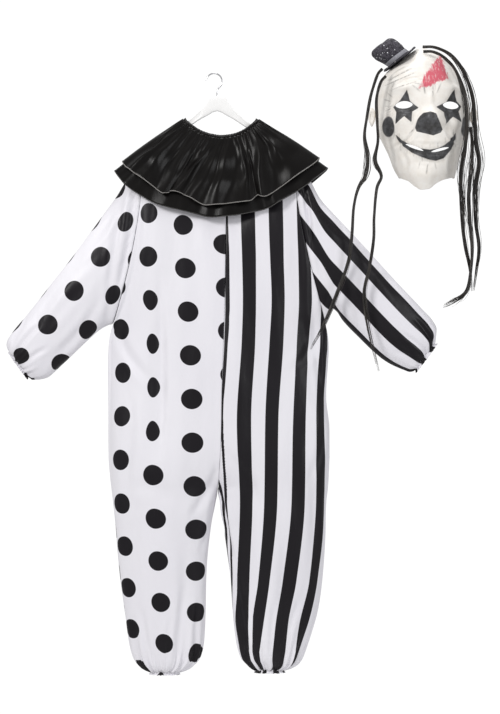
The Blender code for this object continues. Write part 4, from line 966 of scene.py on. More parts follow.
def settle(piece, material, slot, *nodes):
    """Give a piece its finish, parent it, and hide the solids that it stands for; the slot is not used."""
    piece.data.materials.append(material)
    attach(piece, "root")
    if nodes:
        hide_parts(*nodes)
    return piece


# ---------------------------------------------------------------- the prints, charted
def line_tracks(table, first):
    """Printed lines of a table, numbered, each read by depth below the hook."""
    heights = [-row[0] for row in table]
    return [(first + k - 1, Track(heights, [row[k] for row in table])) for k in range(1, len(table[0]))]


def print_across(spots, lines, pitch, way):
    """Place across the flat cloth of each spot: read between printed lines, then straight on."""
    flat = np.zeros(spots.shape[:2])
    for j, row in enumerate(spots):
        arc = run_lengths(row)
        reached = np.concatenate(([-0.1], arc, [arc[-1] + 0.1]))
        marks = []
        for number, track in lines:
            gap = (row[:, 0] - track(-row[:, 2])) * way
            gap = np.concatenate(([gap[0] - 0.1], gap, [gap[-1] + 0.1]))
            if gap[0] < 0.0 < gap[-1]:
                marks.append((np.interp(0.0, gap, reached), number * pitch))
        places, values = zip(*sorted(marks))
        flat[j] = np.interp(arc, places, values)
        flat[j] += way * (np.minimum(arc - places[0], 0.0) + np.maximum(arc - places[-1], 0.0))
    return flat


def hold_below(spots, across, along):
    """Into the elastic the print keeps its place across, and runs on by the cloth's own length."""
    held = int(np.argmax(spots[:, 0, 2] < GATHER_Z))
    across[held:] = across[held]
    for j in range(held, len(spots)):
        along[j] = along[j - 1] + np.linalg.norm(spots[j] - spots[j - 1], axis=1)
    return np.dstack((across, along))


def dot_chart(shift_across=0.0, shift_along=0.0):
    fall = Track([row[0] for row in DOT_FALL], [row[1] for row in DOT_FALL])
    slant = Track([row[0] for row in DOT_SLANT], [row[1] for row in DOT_SLANT])
    second = Track([-row[0] for row in DOT_LINES], [row[2] for row in DOT_LINES])

    def chart(spots):
        x, z = spots[:, :, 0], spots[:, :, 2]
        across = print_across(spots, line_tracks(DOT_LINES, -2), DOT_PITCH, -1.0)
        column = np.floor(across / DOT_PITCH + 0.5)
        off = across / DOT_PITCH - column
        step = np.clip((np.abs(off) - 0.30) / 0.20, 0.0, 1.0)
        along = fall(-z) + slant(column + 0.5 * np.sign(off) * step) + shift_along
        beside = x - second(-z)
        folded = np.clip((-0.55 - z) / 0.10, 0.0, 1.0) * np.clip((z + 1.05) / 0.10, 0.0, 1.0)
        spread = 0.30 * DOT_PITCH * (beside / 0.04) * np.exp(-(beside / 0.03) ** 2)
        across = across + spread * folded + shift_across
        return hold_below(spots, across, along)

    return chart


def stripe_chart(shift_across=0.0):
    def chart(spots):
        lines = line_tracks(SLIVER_LINES, -2) + line_tracks(STRIPE_LINES, 0)
        across = print_across(spots, lines, STRIPE_WIDTH, 1.0) + shift_across
        return hold_below(spots, across, -spots[:, :, 2])

    return chart


def sleeve_chart(axis, shift_across, shift_along, closer=0.0):
    """Sleeve's flat place: square to its axis from the top edge, and down its axis. Past mid
    length the print keeps its place across, and the cloth gathers. The back's print comes
    closer to the top edge by about twice the last number."""
    def chart(spots):
        axis_row = np.array(axis)
        steps = np.diff(spots, axis=1)
        square = np.linalg.norm(steps - (steps @ axis_row)[..., None] * axis_row, axis=2)
        across = np.hstack((np.zeros((len(spots), 1)), np.cumsum(square, axis=1)))
        across -= across[:, across.shape[1] // 2][:, None]
        across += closer * (np.tanh((across - 0.016) / 0.020) - 1.0)
        along = spots @ axis_row
        middle = len(spots) // 2
        across[middle:] = across[middle]
        for j in range(middle + 1, len(spots)):
            along[j] = along[j - 1] + np.linalg.norm(spots[j] - spots[j - 1], axis=1)
        return np.dstack((across + shift_across, along + shift_along))

    return chart


def carried_chart(ends, length):
    """An end's flat place: it goes on from the last row of the cloth above it."""
    def chart(spots):
        share = np.linspace(0.0, 1.0, spots.shape[1])
        known = np.linspace(0.0, 1.0, len(ends))
        across = np.interp(share, known, ends[:, 0])
        along = np.interp(share, known, ends[:, 1])
        down = np.linspace(0.0, length, spots.shape[0])[:, None]
        return np.dstack((np.tile(across, (len(spots), 1)), along + down))

    return chart


# ---------------------------------------------------------------- the jumpsuit's cloth
def drape(point, along, size, seed):
    """Soft uneven value of about -0.5 to 0.5, drawn out along one direction."""
    squeezed = (point - along * (point.dot(along) * 0.78)) / size
    return noise.noise(squeezed + Vector((seed, seed * 0.7, 0.0)))


def panel_relief(half, face, creases):
    """Creases, seams and gathers of a front (-1) or a back (+1) panel."""
    def relief(u, v, point):
        x, _, z = point
        joined = clamp((z - CROTCH_Z) / 0.06)
        loose = ease((1.0 - u) / 0.08) * (joined + (1.0 - joined) * ease(u / 0.08)) * ease(v / 0.05)
        loose *= ease((z - half.lowest) / 0.05)
        swell = 0.0100 * drape(point, DOWN, 0.105, 3.0 + face)
        swell += 0.0026 * drape(point, DOWN, 0.038, 9.0 + face)
        height = (swell - crease_depth(x, z, creases)) * loose
        turn = 0.5 * u if face < 0.0 else 1.0 - 0.5 * u
        height += 0.0026 * ease((half.lowest + 0.17 - z) / 0.15) * pleats(turn, 16, 5.0)
        height += 0.0019 * ease((half.lowest + 0.080 - z) / 0.06) * pleats(turn, 38, 8.0)
        pucker = 1.0 + 0.8 * noise.noise(Vector((0.0, 0.0, z * 95.0)))
        height -= 0.0012 * pucker * math.exp(-(u / 0.011) ** 2)
        height -= 0.0014 * pucker * math.exp(-((1.0 - u) / 0.013) ** 2)
        return height

    return relief


def back_creases(creases, way):
    """The back's creases: the front's, moved and softened."""
    return [c._replace(x0=c.x0 - 0.016 * way, x1=c.x1 + 0.010 * way, z0=c.z0 - 0.035, z1=c.z1 - 0.020,
                       bend=-c.bend, depth=c.depth * 0.9) for c in creases]


def sleeve_relief(half, creases, seed):
    start, end = half.sleeve_ends()
    axis = (end - start).normalized()
    length = (end - start).length

    def relief(turned, v, point):
        u = (turned + 0.5) % 1.0
        angle = 2.0 * math.pi * u
        side = ease(abs(math.sin(angle)) / 0.35)
        loose = ease(v / 0.06) * (1.0 - 0.6 * ease((v - 0.85) / 0.1))
        swell = 0.0072 * drape(point, axis, 0.085, seed)
        swell += 0.0026 * drape(point, axis, 0.030, seed + 5.0)
        height = swell * loose
        height -= crease_depth(point.x, point.z, creases) * side * ease(v / 0.05)
        over = (0.5 + 0.5 * math.cos(angle)) ** 2
        height += 0.0021 * over * ease(1.0 - v / 0.20) * pleats(u, 44, seed + 2.0)
        height += 0.0026 * ease((v - 0.72) / 0.2) * pleats(u, 15, seed + 4.0)
        height += 0.0018 * ease((v - 0.88) / 0.1) * pleats(u, 34, seed + 6.0)
        height -= 0.0020 * math.exp(-(v * length / 0.006) ** 2)
        underarm = abs(u - 0.5)
        return height - 0.0014 * math.exp(-(underarm / 0.008) ** 2)

    return relief


END_LENGTH = 0.0105            # gathered edge of a wrist or an ankle


def gathered_end(name, ring, along, seed, ends, material, slot, node):
    """Short elastic edge: pulled in at its channel, frilled below it."""
    middle = sum((ring(k / 24) for k in range(24)), Vector()) / 24

    def form(u, v):
        point = ring(u)
        out = point - middle
        pull = 0.985 - 0.045 * math.sin(math.pi * clamp(v / 0.8)) + 0.035 * ease((v - 0.55) / 0.45)
        frill = 0.0008 + 0.0013 * v
        reach = pull + frill * pleats(u, 34, seed) / max(out.length, 0.01)
        slip = 0.0012 * (1.0 - v) + END_LENGTH * v + 0.0007 * v * pleats(u, 21, seed + 3.0)
        return middle + out * reach + along * (slip - 0.002)

    piece, _, _ = lay(name, form, END_GRID, None, away_from(middle, middle + along),
                      carried_chart(ends, END_LENGTH), wrap=True)
    give_wall(piece, CLOTH_WALL)
    return settle(piece, material, slot, node)


def sew_half(half, charts, creases, sleeve_creases, sleeve_axis, sleeve_shift, material, slot):
    """Front, back, sleeve and gathered ends of one half."""
    name = half.name
    front, _, front_flat = lay(f"{name}_front_panel", half.panel(-1.0), FRONT_GRID,
                               panel_relief(half, -1.0, creases), lambda point: FORWARD, charts[0], even=True)
    back, _, back_flat = lay(f"{name}_back_panel", half.panel(1.0), BACK_GRID,
                             panel_relief(half, 1.0, back_creases(creases, half.way)),
                             lambda point: -FORWARD, charts[1], even=True)
    settle(give_wall(front, CLOTH_WALL), material, slot, f"{name}_front")
    settle(give_wall(back, CLOTH_WALL), material, slot, f"{name}_back")

    sleeve, _, sleeve_flat = lay(f"{name}_sleeve_tube", half.sleeve_from_seam, SLEEVE_GRID,
                                 sleeve_relief(half, sleeve_creases, half.way * 3.0),
                                 away_from(*half.sleeve_ends()), sleeve_chart(sleeve_axis, *sleeve_shift),
                                 wrap=True)
    settle(give_wall(sleeve, CLOTH_WALL), material, slot, f"{name}_sleeve")

    ring = half.rings[-1]
    along = Vector((-(ring.upper_z - ring.lower_z) * half.way, 0.0, (ring.upper_x - ring.lower_x) * half.way))
    along = (along if along.z < 0.0 else -along).normalized()
    cuff = gathered_end(f"{name}_cuff_gather", lambda u: half.sleeve_from_seam(u, 1.0), along,
                        2.0 + half.way, sleeve_flat[-1], material, slot, f"{name}_cuff")

    foot = half.foot

    def leg_ring(u):
        x = foot.inner + (foot.outer - foot.inner) * (1.0 - math.cos(2.0 * math.pi * u)) / 2
        return Vector((x, -foot.depth * math.sin(2.0 * math.pi * u), foot.z))

    rounds = np.vstack((front_flat[-1], back_flat[-1][::-1]))
    ankle = gathered_end(f"{name}_ankle_gather", leg_ring, DOWN, 6.0 + half.way, rounds, material, slot,
                         f"{name}_ankle")
    return front, back, sleeve, cuff, ankle


# ---------------------------------------------------------------- the back opening
PLACKET_TOP, PLACKET_LOW = 0.0175, 0.508     # its run down the back panels
PLACKET_COLUMN = 0.036                       # its half width, as a share of a panel


def sew_placket(material):
    backs = {-1.0: DOT_HALF.panel(1.0), 1.0: STRIPE_HALF.panel(1.0)}

    def form(u, v):
        side = 2.0 * u - 1.0
        way = -1.0 if side < 0.0 else 1.0
        v = PLACKET_TOP + (PLACKET_LOW - PLACKET_TOP) * v
        point = backs[way](PLACKET_COLUMN * abs(side), v)
        near = 1.0 - side ** 8
        return point + Vector((0.0, 0.0017 + 0.0007 * near, 0.0))

    def relief(u, v, point):
        side = abs(2.0 * u - 1.0)
        stitched = math.exp(-((side - 0.78) / 0.07) ** 2)
        return 0.0009 * noise.noise(Vector((u * 3.0, 0.0, point.z * 26.0))) - 0.0005 * stitched

    piece, _, _ = lay("placket_strip", form, PLACKET_GRID, relief, lambda point: -FORWARD)
    give_wall(piece, CLOTH_WALL)
    return settle(piece, material, "dot_satin", "back_placket")


# ---------------------------------------------------------------- the collar
COLLAR_FOLDS = 11
COLLAR_FLUTE = 0.0055
BELLY_NECK = 0.020
BELLY_GROWTH = 0.045
RIDGE_RISE = 0.004
RUFFLE_START = 0.045          # share of the way from neck to hem where the ruffles leave the band
# ridges (+) and troughs (-) of the front: share across at the neck, at the hem, width, height
COLLAR_RIDGES = [
    (0.055, 0.060, 0.018, 0.0060), (0.110, 0.150, 0.026, 0.0080), (0.165, 0.216, 0.012, -0.0085),
    (0.225, 0.268, 0.020, 0.0075), (0.330, 0.318, 0.015, -0.0060), (0.450, 0.372, 0.022, 0.0090),
    (0.490, 0.428, 0.013, -0.0065), (0.530, 0.474, 0.017, 0.0055), (0.570, 0.512, 0.012, -0.0045),
    (0.620, 0.556, 0.020, 0.0060), (0.690, 0.600, 0.012, -0.0060), (0.750, 0.645, 0.020, 0.0070),
    (0.830, 0.716, 0.014, -0.0100), (0.905, 0.790, 0.024, 0.0080), (0.935, 0.845, 0.014, -0.0060),
    (0.965, 0.905, 0.026, 0.0070),
]
neck_edge_x = along_track(NECK_EDGE, "x")
neck_edge_z = along_track(NECK_EDGE, "z")


class Layer:
    """A layer of the collar: round from the left corner by the front, and from the neck to its hem."""

    def __init__(self, front_hem, back_hem, out):
        self.hems = [(along_track(hem, "x"), along_track(hem, "z")) for hem in (front_hem, back_hem)]
        self.out = out

    def __call__(self, u, v):
        angle = 2.0 * math.pi * u
        share = (1.0 - math.cos(angle)) / 2
        front = 1.0 if math.sin(angle) >= 0.0 else -1.0
        hem_x, hem_z = self.hems[0 if front > 0.0 else 1]
        x = neck_edge_x(share) * (1.0 - v) + hem_x(share) * v
        z = neck_edge_z(share) * (1.0 - v) + hem_z(share) * v
        side = abs(math.sin(angle))
        belly = BELLY_NECK + BELLY_GROWTH * v ** 0.6 + self.out * (0.35 + 0.65 * v)
        wave = math.cos(2.0 * math.pi * COLLAR_FOLDS * u + 0.6 * math.sin(3.0 * angle))
        flute = COLLAR_FLUTE * v * side * wave
        y = -front * (belly * side ** 0.55 + flute)
        ridge = (1.0 - side) ** 3
        z += self.out * 0.6 * ridge + RIDGE_RISE * (ridge * math.sin(math.pi * v) - v * (1.0 - ridge))
        return Vector((x, y, z))


def ruffle_relief(fine, big):
    """Gathers from the neck, few and deep at the hem; fine and big set how much of each shows."""
    def relief(u, run, point):
        v = RUFFLE_START + (1.0 - RUFFLE_START) * run
        angle = 2.0 * math.pi * u
        side = ease(abs(math.sin(angle)) / 0.5)
        height = 0.0014 * fine * pleats(u, 66, 3.0) * (1.0 - ease((v - 0.08) / 0.26)) * ease(v / 0.05)
        height += 0.0016 * fine * pleats(u, 29, 5.0) * ease(v / 0.2) * (1.0 - ease((v - 0.25) / 0.45))
        height += 0.0042 * pleats(u, 9, 7.0) * ease((v - 0.1) / 0.8) * (0.35 + 0.65 * side)
        loose = ease((v - 0.2) / 0.3) * side * (1.0 - 0.85 * ease((v - 0.62) / 0.3))
        height += 0.0085 * fine * noise.noise(Vector((u * 17.0, v * 3.0, 2.0))) * loose
        share = (1.0 - math.cos(angle)) / 2
        front = math.sin(angle) >= 0.0
        for at_neck, at_hem, width, rise in COLLAR_RIDGES:
            if not front:
                at_neck, at_hem, rise = 1.0 - at_neck * 0.97, 1.0 - at_hem * 0.97, rise * 0.9
            bend = 0.020 * noise.noise(Vector((v * 2.4, at_hem * 21.0, 5.0)))
            line = at_neck + (at_hem - at_neck) * v ** 0.8 + bend * math.sin(math.pi * v)
            off = (share - line) / (width * (0.70 + 0.60 * v))
            vary = 0.95 + 0.6 * noise.noise(Vector((v * 3.1, at_hem * 17.0, 8.0)))
            rise *= 0.5 if rise < 0.0 else 1.0
            height += big * rise * vary * math.exp(-off * off) * ease(v / 0.6) * side
        return height

    return relief


def sew_ruffle(name, layer, fine, big, material, node):
    def form(u, run):
        return layer(u, RUFFLE_START + (1.0 - RUFFLE_START) * run)

    piece, laid, _ = lay(name, form, RUFFLE_GRID, ruffle_relief(fine, big),
                         lambda point: Vector((0.0, point.y, 0.01)), wrap=True)
    give_wall(piece, RUFFLE_WALL)
    settle(piece, material, "black_satin", node)
    return piece, laid


def sew_hem(name, laid, material):
    """Overlocked edge: a flat roll of thread all along a ruffle's hem."""
    edge, above = laid[-1], laid[-3]
    count = len(edge) - 1

    def form(u, v):
        i = round(u * count)
        point = Vector(edge[i])
        down = (point - Vector(above[i])).normalized()
        ahead = (Vector(edge[(i + 1) % count]) - Vector(edge[(i - 1) % count])).normalized()
        out = down.cross(ahead).normalized()
        turn = 2.0 * math.pi * v
        return point - down * 0.0004 + down * (0.0013 * math.cos(turn)) + out * (0.0009 * math.sin(turn))

    piece, _, _ = lay(name, form, (count, HEM_ROUND), wrap=True)
    bm = bmesh.new()
    bm.from_mesh(piece.data)
    bmesh.ops.recalc_face_normals(bm, faces=bm.faces)
    bm.to_mesh(piece.data)
    bm.free()
    piece.data.shade_smooth()
    return settle(piece, material, "black_satin")


def sew_band(material):
    """Elastic channel at the neck, with its own fine gathers."""
    layer = Layer(UPPER_FRONT_HEM, UPPER_BACK_HEM, BAND_OUT)

    def form(u, v):
        point = layer(u, 0.052 * v)
        rounded = 0.0016 * math.sin(math.pi * v)
        return point + Vector((0.0, math.copysign(rounded, point.y) if abs(point.y) > 1e-4 else 0.0, 0.0))

    def relief(u, v, point):
        return 0.0005 * pleats(u, 84, 11.0) * (0.3 + 0.7 * abs(2.0 * v - 1.0))

    piece, _, _ = lay("collar_neck_band", form, BAND_GRID, relief, lambda point: Vector((0.0, point.y, 0.01)),
                      wrap=True)
    give_wall(piece, BAND_WALL)
    return settle(piece, material, "black_satin", "collar_band")


# ---------------------------------------------------------------- the hanger
HANGER_THICK = 0.0055


def mould_hanger(material):
    """Moulded body: a full rounded bar with a shallow channel along each arm, front and back."""
    bottom = Track([row.reach for row in ARMS], [row.bottom for row in ARMS])
    far = ARMS[-1].reach

    def form(u, v):
        reach = far * (2.0 * v - 1.0)
        tip = math.sqrt(1.0 - clamp((abs(reach) - far + 0.005) / 0.005) ** 2)
        top, low = arm_top(abs(reach)), bottom(abs(reach))
        thick = HANGER_THICK * (1.0 - 0.35 * ease((abs(reach) - 0.178) / 0.010))
        turn = 2.0 * math.pi * u
        y = thick * math.copysign(abs(math.cos(turn)) ** 0.55, math.cos(turn)) * tip
        rise = math.copysign(abs(math.sin(turn)) ** 0.65, math.sin(turn))
        z = (top + low) / 2 + (top - low) / 2 * rise * tip
        return Vector((HANGER_X + reach, y, z))

    def relief(u, v, point):
        reach = abs(point.x - HANGER_X)
        middle = (arm_top(reach) + bottom(reach)) / 2
        half = (arm_top(reach) - bottom(reach)) / 2
        channel = 1.0 - ease((abs(point.z - middle) / half - 0.42) / 0.22)
        along = ease((reach - 0.036) / 0.012) * (1.0 - ease((reach - 0.160) / 0.014))
        return -0.0014 * channel * along

    piece, _, _ = lay("hanger_moulding", form, HANGER_GRID, relief, lambda point: Vector((0.0, point.y, 0.0)),
                      wrap=True)
    return settle(piece, material, "white_plastic", "hanger_body")


def bend_hook(material):
    """One length of wire: up from the body, a small jog, and round to its rounded end."""
    radius, wire = 0.0216, 0.002
    centre_z = wire - radius
    route = [(HANGER_X, 0.0, -0.0612), (HANGER_X, 0.0, -0.0540), (HANGER_X, 0.0, -0.0470),
             (HANGER_X + 0.0003, 0.0, -0.0432), (HANGER_X + 0.0025, 0.0, -0.0395),
             (HANGER_X + 0.0075, 0.0, -0.0345)]
    for step in range(40):
        angle = math.radians(-24.0 + 198.0 * step / 39)
        route.append((radius * math.cos(angle), 0.0, centre_z + radius * math.sin(angle)))
    return draw_wires("hanger_wire", [([Vector(point) for point in route], wire)], 4, material, "bright_wire",
                      "hanger_hook")


def draw_wires(name, lines, rounds, material, slot, *nodes):
    """Round wires or strands along their points; with fewer than two rounds, each narrows to about a third
    over its last eight points.
    """
    curve = bpy.data.curves.new(name, "CURVE")
    curve.dimensions = "3D"
    curve.bevel_depth = 1.0
    curve.bevel_resolution = rounds
    curve.use_fill_caps = True
    for points, radius in lines:
        spline = curve.splines.new("POLY")
        spline.points.add(len(points) - 1)
        for k, (target, point) in enumerate(zip(spline.points, points)):
            target.co = (*point, 1.0)
            left = len(points) - 1 - k
            target.radius = radius if rounds > 1 else radius * (0.35 + 0.65 * clamp(left / 8.0))
    piece = bpy.data.objects.new(name, curve)
    bpy.context.scene.collection.objects.link(piece)
    return settle(piece, material, slot, *nodes)


# ---------------------------------------------------------------- the mask
mask_left, mask_right, mask_depth = (down_track(MASK_FACES, column) for column in ("left", "right", "depth"))
chin_flap = Track([i / (len(CHIN_FLAP) - 1) for i in range(len(CHIN_FLAP))], CHIN_FLAP)


def mask_form(u, v):
    """Face: u from the left edge to the right, v from the crown to the chin."""
    top, low = MASK_FACES[0].z, MASK_FACES[-1].z
    z = top + (low - top) * v
    left, right = mask_left(-z), mask_right(-z)
    angle = math.pi * (u * 1.16 - 0.08)
    x = (left + right) / 2 - (right - left) / 2 * math.cos(angle)
    y = 0.015 - mask_depth(-z) * math.sin(angle)
    nose_x, nose_z, radius, height = NOSE
    away = math.hypot(x - nose_x, (z - nose_z) * 1.15) / radius
    if away < 1.25:
        y -= height * ease(1.25 - away)
    return Vector((x, y, z - chin_flap(u) * ease((v - 0.72) / 0.28)))


def mask_relief(u, v, point):
    """Brows, sockets, cheeks, lips and wrinkles of the moulded face."""
    x, y, z = point
    if y > 0.0:
        return 0.0
    height = 0.0
    for swell in SWELLS:
        turn = math.radians(swell.turn)
        dx, dz = x - swell.x, z - swell.z
        across = (dx * math.cos(turn) + dz * math.sin(turn)) / swell.half_x
        up = (dz * math.cos(turn) - dx * math.sin(turn)) / swell.half_z
        height += swell.height * math.exp(-1.6 * (across * across + up * up))
    height -= crease_depth(x, z, WRINKLES)
    height += 0.0009 * noise.noise(point * 34.0)
    return height * ease(-y / 0.02) * ease(v / 0.05) * ease((1.0 - v) / 0.05)


def outline_reach(points, outline):
    """How far each point lies outside (+) or inside (-) a closed outline."""
    corners = [np.array(corner) for corner in outline]
    away = np.full(points.shape[:-1], 9.0)
    inside = np.zeros(points.shape[:-1], bool)
    for one, two in zip(corners, corners[1:] + corners[:1]):
        run = two - one
        share = np.clip(((points - one) @ run) / (run @ run), 0.0, 1.0)
        away = np.minimum(away, np.linalg.norm(points - one - share[..., None] * run, axis=-1))
        crossing = (one[1] > points[..., 1]) != (two[1] > points[..., 1])
        at = one[0] + (points[..., 1] - one[1]) * run[0] / (run[1] if run[1] else 1e-9)
        inside ^= crossing & (points[..., 0] < at)
    return np.where(inside, -away, away)


def oval_reach(points, spot):
    x, z, half_x, half_z = spot
    near = np.hypot((points[..., 0] - x) / half_x, (points[..., 1] - z) / half_z)
    return (near - 1.0) * min(half_x, half_z)


def painted(reach, soft):
    return np.clip(0.5 - reach / (2.0 * soft), 0.0, 1.0)


def mask_marks(spots):
    """Painted values on the face: black, red, and grey brushed lines with painted shade, laid as seen from
    the front.
    """
    nearer = -spots[:, :, 1:2] / (VIEW_DISTANCE + spots[:, :, 1:2])
    points = spots[:, :, [0, 2]]
    points = points + (points - np.array(VIEW_SPOT)) * nearer
    front = (spots[:, :, 1] < 0.012).astype(float)
    black = np.zeros(points.shape[:2])
    for star in STARS:
        black = np.maximum(black, painted(outline_reach(points, star), 0.0014))
    black = np.maximum(black, 0.92 * painted(outline_reach(points, GRIN), 0.0020))
    black = np.maximum(black, painted(outline_reach(points, NOSE_PAINT), 0.0018))
    for spot in CHEEK_SPOTS:
        black = np.maximum(black, 0.85 * painted(oval_reach(points, spot), 0.0028))
    red = painted(outline_reach(points, WOUND), 0.0050)
    smoke = np.zeros(points.shape[:2])
    for x0, z0, x1, z1, width in STROKES:
        one, run = np.array((x0, z0)), np.array((x1 - x0, z1 - z0))
        share = np.clip(((points - one) @ run) / (run @ run), 0.0, 1.0)
        away = np.linalg.norm(points - one - share[..., None] * run, axis=-1)
        smoke = np.maximum(smoke, painted(away - width, 0.0014) * (0.45 + 0.55 * np.sin(np.pi * share)))
    # painted shade: soft grey round the eye stars, the grin and the cheek spots
    for star in STARS:
        smoke = np.maximum(smoke, 0.30 * painted(outline_reach(points, star) - 0.004, 0.006))
    smoke = np.maximum(smoke, 0.45 * painted(outline_reach(points, GRIN) - 0.003, 0.006))
    for spot in CHEEK_SPOTS:
        smoke = np.maximum(smoke, 0.35 * painted(oval_reach(points, spot) - 0.004, 0.008))
    # painted shade: greyer towards the left and right edges, where the face turns away from the light
    sides = np.clip(np.abs(points[..., 0] - 0.568) / 0.125, 0.0, 1.0) ** 8
    smoke = np.maximum(smoke, 0.10 * sides)
    return {"black": black * front, "red": red * front, "smoke": smoke * front}


def almond(x, z, half_width, half_height, tilt, sides=26):
    """Outline of an eye or mouth hole, turned by tilt degrees."""
    turn = math.radians(tilt)
    outline = []
    for j in range(sides):
        angle = 2.0 * math.pi * j / sides
        across = half_width * math.cos(angle)
        up = half_height * math.sin(angle) * abs(math.sin(angle)) ** 0.3
        outline.append((x + across * math.cos(turn) - up * math.sin(turn),
                        z + across * math.sin(turn) + up * math.cos(turn)))
    return outline


def cut_holes(bm):
    """Cut the eye and mouth holes through the shell, edge by edge of their outlines."""
    holes = [almond(x, z, *EYE_HOLE, 0.0) for x, z in EYES]
    holes += [almond(x, z, *SLIT, tilt) for x, z, tilt in MOUTH_SLITS]
    for outline in holes:
        middle_x = sum(x for x, _ in outline) / len(outline)
        middle_z = sum(z for _, z in outline) / len(outline)
        reach = max(math.hypot(x - middle_x, z - middle_z) for x, z in outline) + 0.004

        def near(face):
            place = face.calc_center_median()
            return place.y < 0.0 and math.hypot(place.x - middle_x, place.z - middle_z) < reach

        for (x0, z0), (x1, z1) in zip(outline, outline[1:] + outline[:1]):
            faces = [face for face in bm.faces if near(face)]
            edges = {edge for face in faces for edge in face.edges}
            verts = {vertex for face in faces for vertex in face.verts}
            bmesh.ops.bisect_plane(bm, geom=[*verts, *edges, *faces], dist=1e-6, plane_co=(x0, 0.0, z0),
                                   plane_no=(z1 - z0, 0.0, x0 - x1))

        def within(face):
            place = face.calc_center_median()
            sides = [(x1 - x0) * (place.z - z0) - (z1 - z0) * (place.x - x0)
                     for (x0, z0), (x1, z1) in zip(outline, outline[1:] + outline[:1])]
            return place.y < 0.0 and all(side > 0.0 for side in sides)

        bmesh.ops.delete(bm, geom=[face for face in bm.faces if within(face)], context="FACES")


def mould_mask(material, inside):
    """Face shell, painted outside and bare inside, and its two ears."""
    shell, _, _ = lay("mask_face_shell", mask_form, MASK_GRID, mask_relief, lambda point: point - MASK_CORE,
                      marks=mask_marks, cut=cut_holes)
    give_wall(shell, LATEX_WALL).modifiers["wall"].material_offset = 1
    settle(shell, material, "latex", "mask_face")
    shell.data.materials.append(inside)
    for name, node, way, (x, z, half) in (("mask_left_ear", "mask_ear_left", -1.0, EARS[0]),
                                          ("mask_right_ear", "mask_ear_right", 1.0, EARS[1])):
        bm = bmesh.new()
        bmesh.ops.create_uvsphere(bm, u_segments=40, v_segments=28, radius=1.0)
        for vertex in bm.verts:
            across, deep, up = vertex.co
            bowl = math.exp(-((across - 0.25 * way) / 0.42) ** 2 - ((up - 0.10) / 0.50) ** 2)
            ridge = math.exp(-((math.hypot(across, up * 0.95) - 0.62) / 0.13) ** 2)
            if deep < 0.0:
                deep += 1.05 * bowl * -deep - 0.25 * ridge
            lobe = 1.0 - 0.30 * ease((-up - 0.35) / 0.6) + 0.08 * math.sin(up * 3.0)
            vertex.co = (x + across * half * lobe, 0.012 + deep * 0.0060, z + up * 0.026)
        bmesh.ops.recalc_face_normals(bm, faces=bm.faces)
        settle(add_piece(name, bm), material, "latex", node)


def fit_elastic(material):
    """Flat elastic behind the head, joined to the mask's side edges."""
    left, right, foot_y, foot_z, sag = 0.4600, 0.6680, 0.0327, -0.1450, 0.030

    def form(u, v):
        angle = math.pi * v
        x = (left + right) / 2 - (right - left) / 2 * math.cos(angle)
        y = foot_y + sag * math.sin(angle)
        curl = 0.0008 * math.sin(7.0 * angle) * (2.0 * u - 1.0)
        return Vector((x, y + curl, foot_z - sag * math.sin(angle) + 0.009 * (1.0 - 2.0 * u)))

    piece, _, _ = lay("mask_elastic", form, ELASTIC_GRID, None, lambda point: -FORWARD)
    give_wall(piece, ELASTIC_WALL)
    return settle(piece, material, "elastic", "mask_strap")


# ---------------------------------------------------------------- the little hat
HAT_AXIS = Vector((math.sin(HAT_LEAN), 0.0, math.cos(HAT_LEAN)))
HAT_SIDE = Vector((math.cos(HAT_LEAN), 0.0, -math.sin(HAT_LEAN)))


def hat_spot(turn, radius, height):
    angle = 2.0 * math.pi * turn
    slump = HAT_SIDE * (CROWN_SKEW * max(height, 0.0))
    outward = HAT_SIDE * math.cos(angle) - FORWARD * math.sin(angle)
    return HAT_FOOT + HAT_AXIS * height - slump + outward * radius


def round_form(profile, dent):
    """Surface spun about the hat's axis from a profile of radius and height."""
    radius = along_track([Hem(*row) for row in profile], "x")
    height = along_track([Hem(*row) for row in profile], "z")

    def form(u, v):
        angle = 2.0 * math.pi * u
        r, h = radius(v), height(v)
        return hat_spot(u, r, h + dent * math.sin(2.0 * angle + 0.8) * (r / BRIM_RADIUS) ** 2)

    return form


def make_hat(felt, ribbon):
    """Brim, crown and band, each spun from its profile of radius and height."""
    brim = [(0.0, 0.0004), (0.020, 0.0002), (0.040, 0.0002), (0.0505, 0.0004), (0.0527, 0.0009),
            (0.0530, 0.0020), (0.0522, 0.0030), (0.0500, 0.0033), (0.040, 0.0030), (0.033, 0.0032),
            (0.020, 0.0032), (0.0, 0.0032)]
    crown = [(0.0, 0.0034), (0.024, 0.0034), (0.0312, 0.0036), (0.0322, 0.0046), (0.0328, 0.010),
             (0.0352, 0.020), (0.0374, 0.032), (0.0382, 0.043), (0.0372, 0.052), (0.0340, 0.0590),
             (0.0285, 0.0635), (0.0215, 0.0655), (0.0120, 0.0655), (0.0, 0.0645)]
    band = [(0.0327, 0.0048), (0.0338, 0.0046), (0.0346, 0.0054), (0.0347, 0.0100), (0.0350, 0.0148),
            (0.0342, 0.0160), (0.0330, 0.0158)]

    def dents(u, v, point):
        return 0.0030 * noise.noise(point * 38.0) + 0.0007 * noise.noise(point * 150.0)

    for name, profile, rows, node, material, slot in (
            ("hat_brim_felt", brim, 60, "hat_brim", felt, "glitter_felt"),
            ("hat_crown_felt", crown, 84, "hat_crown", felt, "glitter_felt"),
            ("hat_band_ribbon", band, 20, "hat_band", ribbon, "silver_ribbon")):
        core = hat_spot(0.0, 0.0, sum(height for _, height in profile) / len(profile))
        piece, _, _ = lay(name, round_form(profile, 0.0016 if node == "hat_brim" else 0.0), (HAT_ROUND, rows),
                          None if node == "hat_band" else dents, lambda point: point - core, wrap=True)
        if node == "hat_band":
            give_wall(piece, RIBBON_WALL)
        settle(piece, material, slot, node)


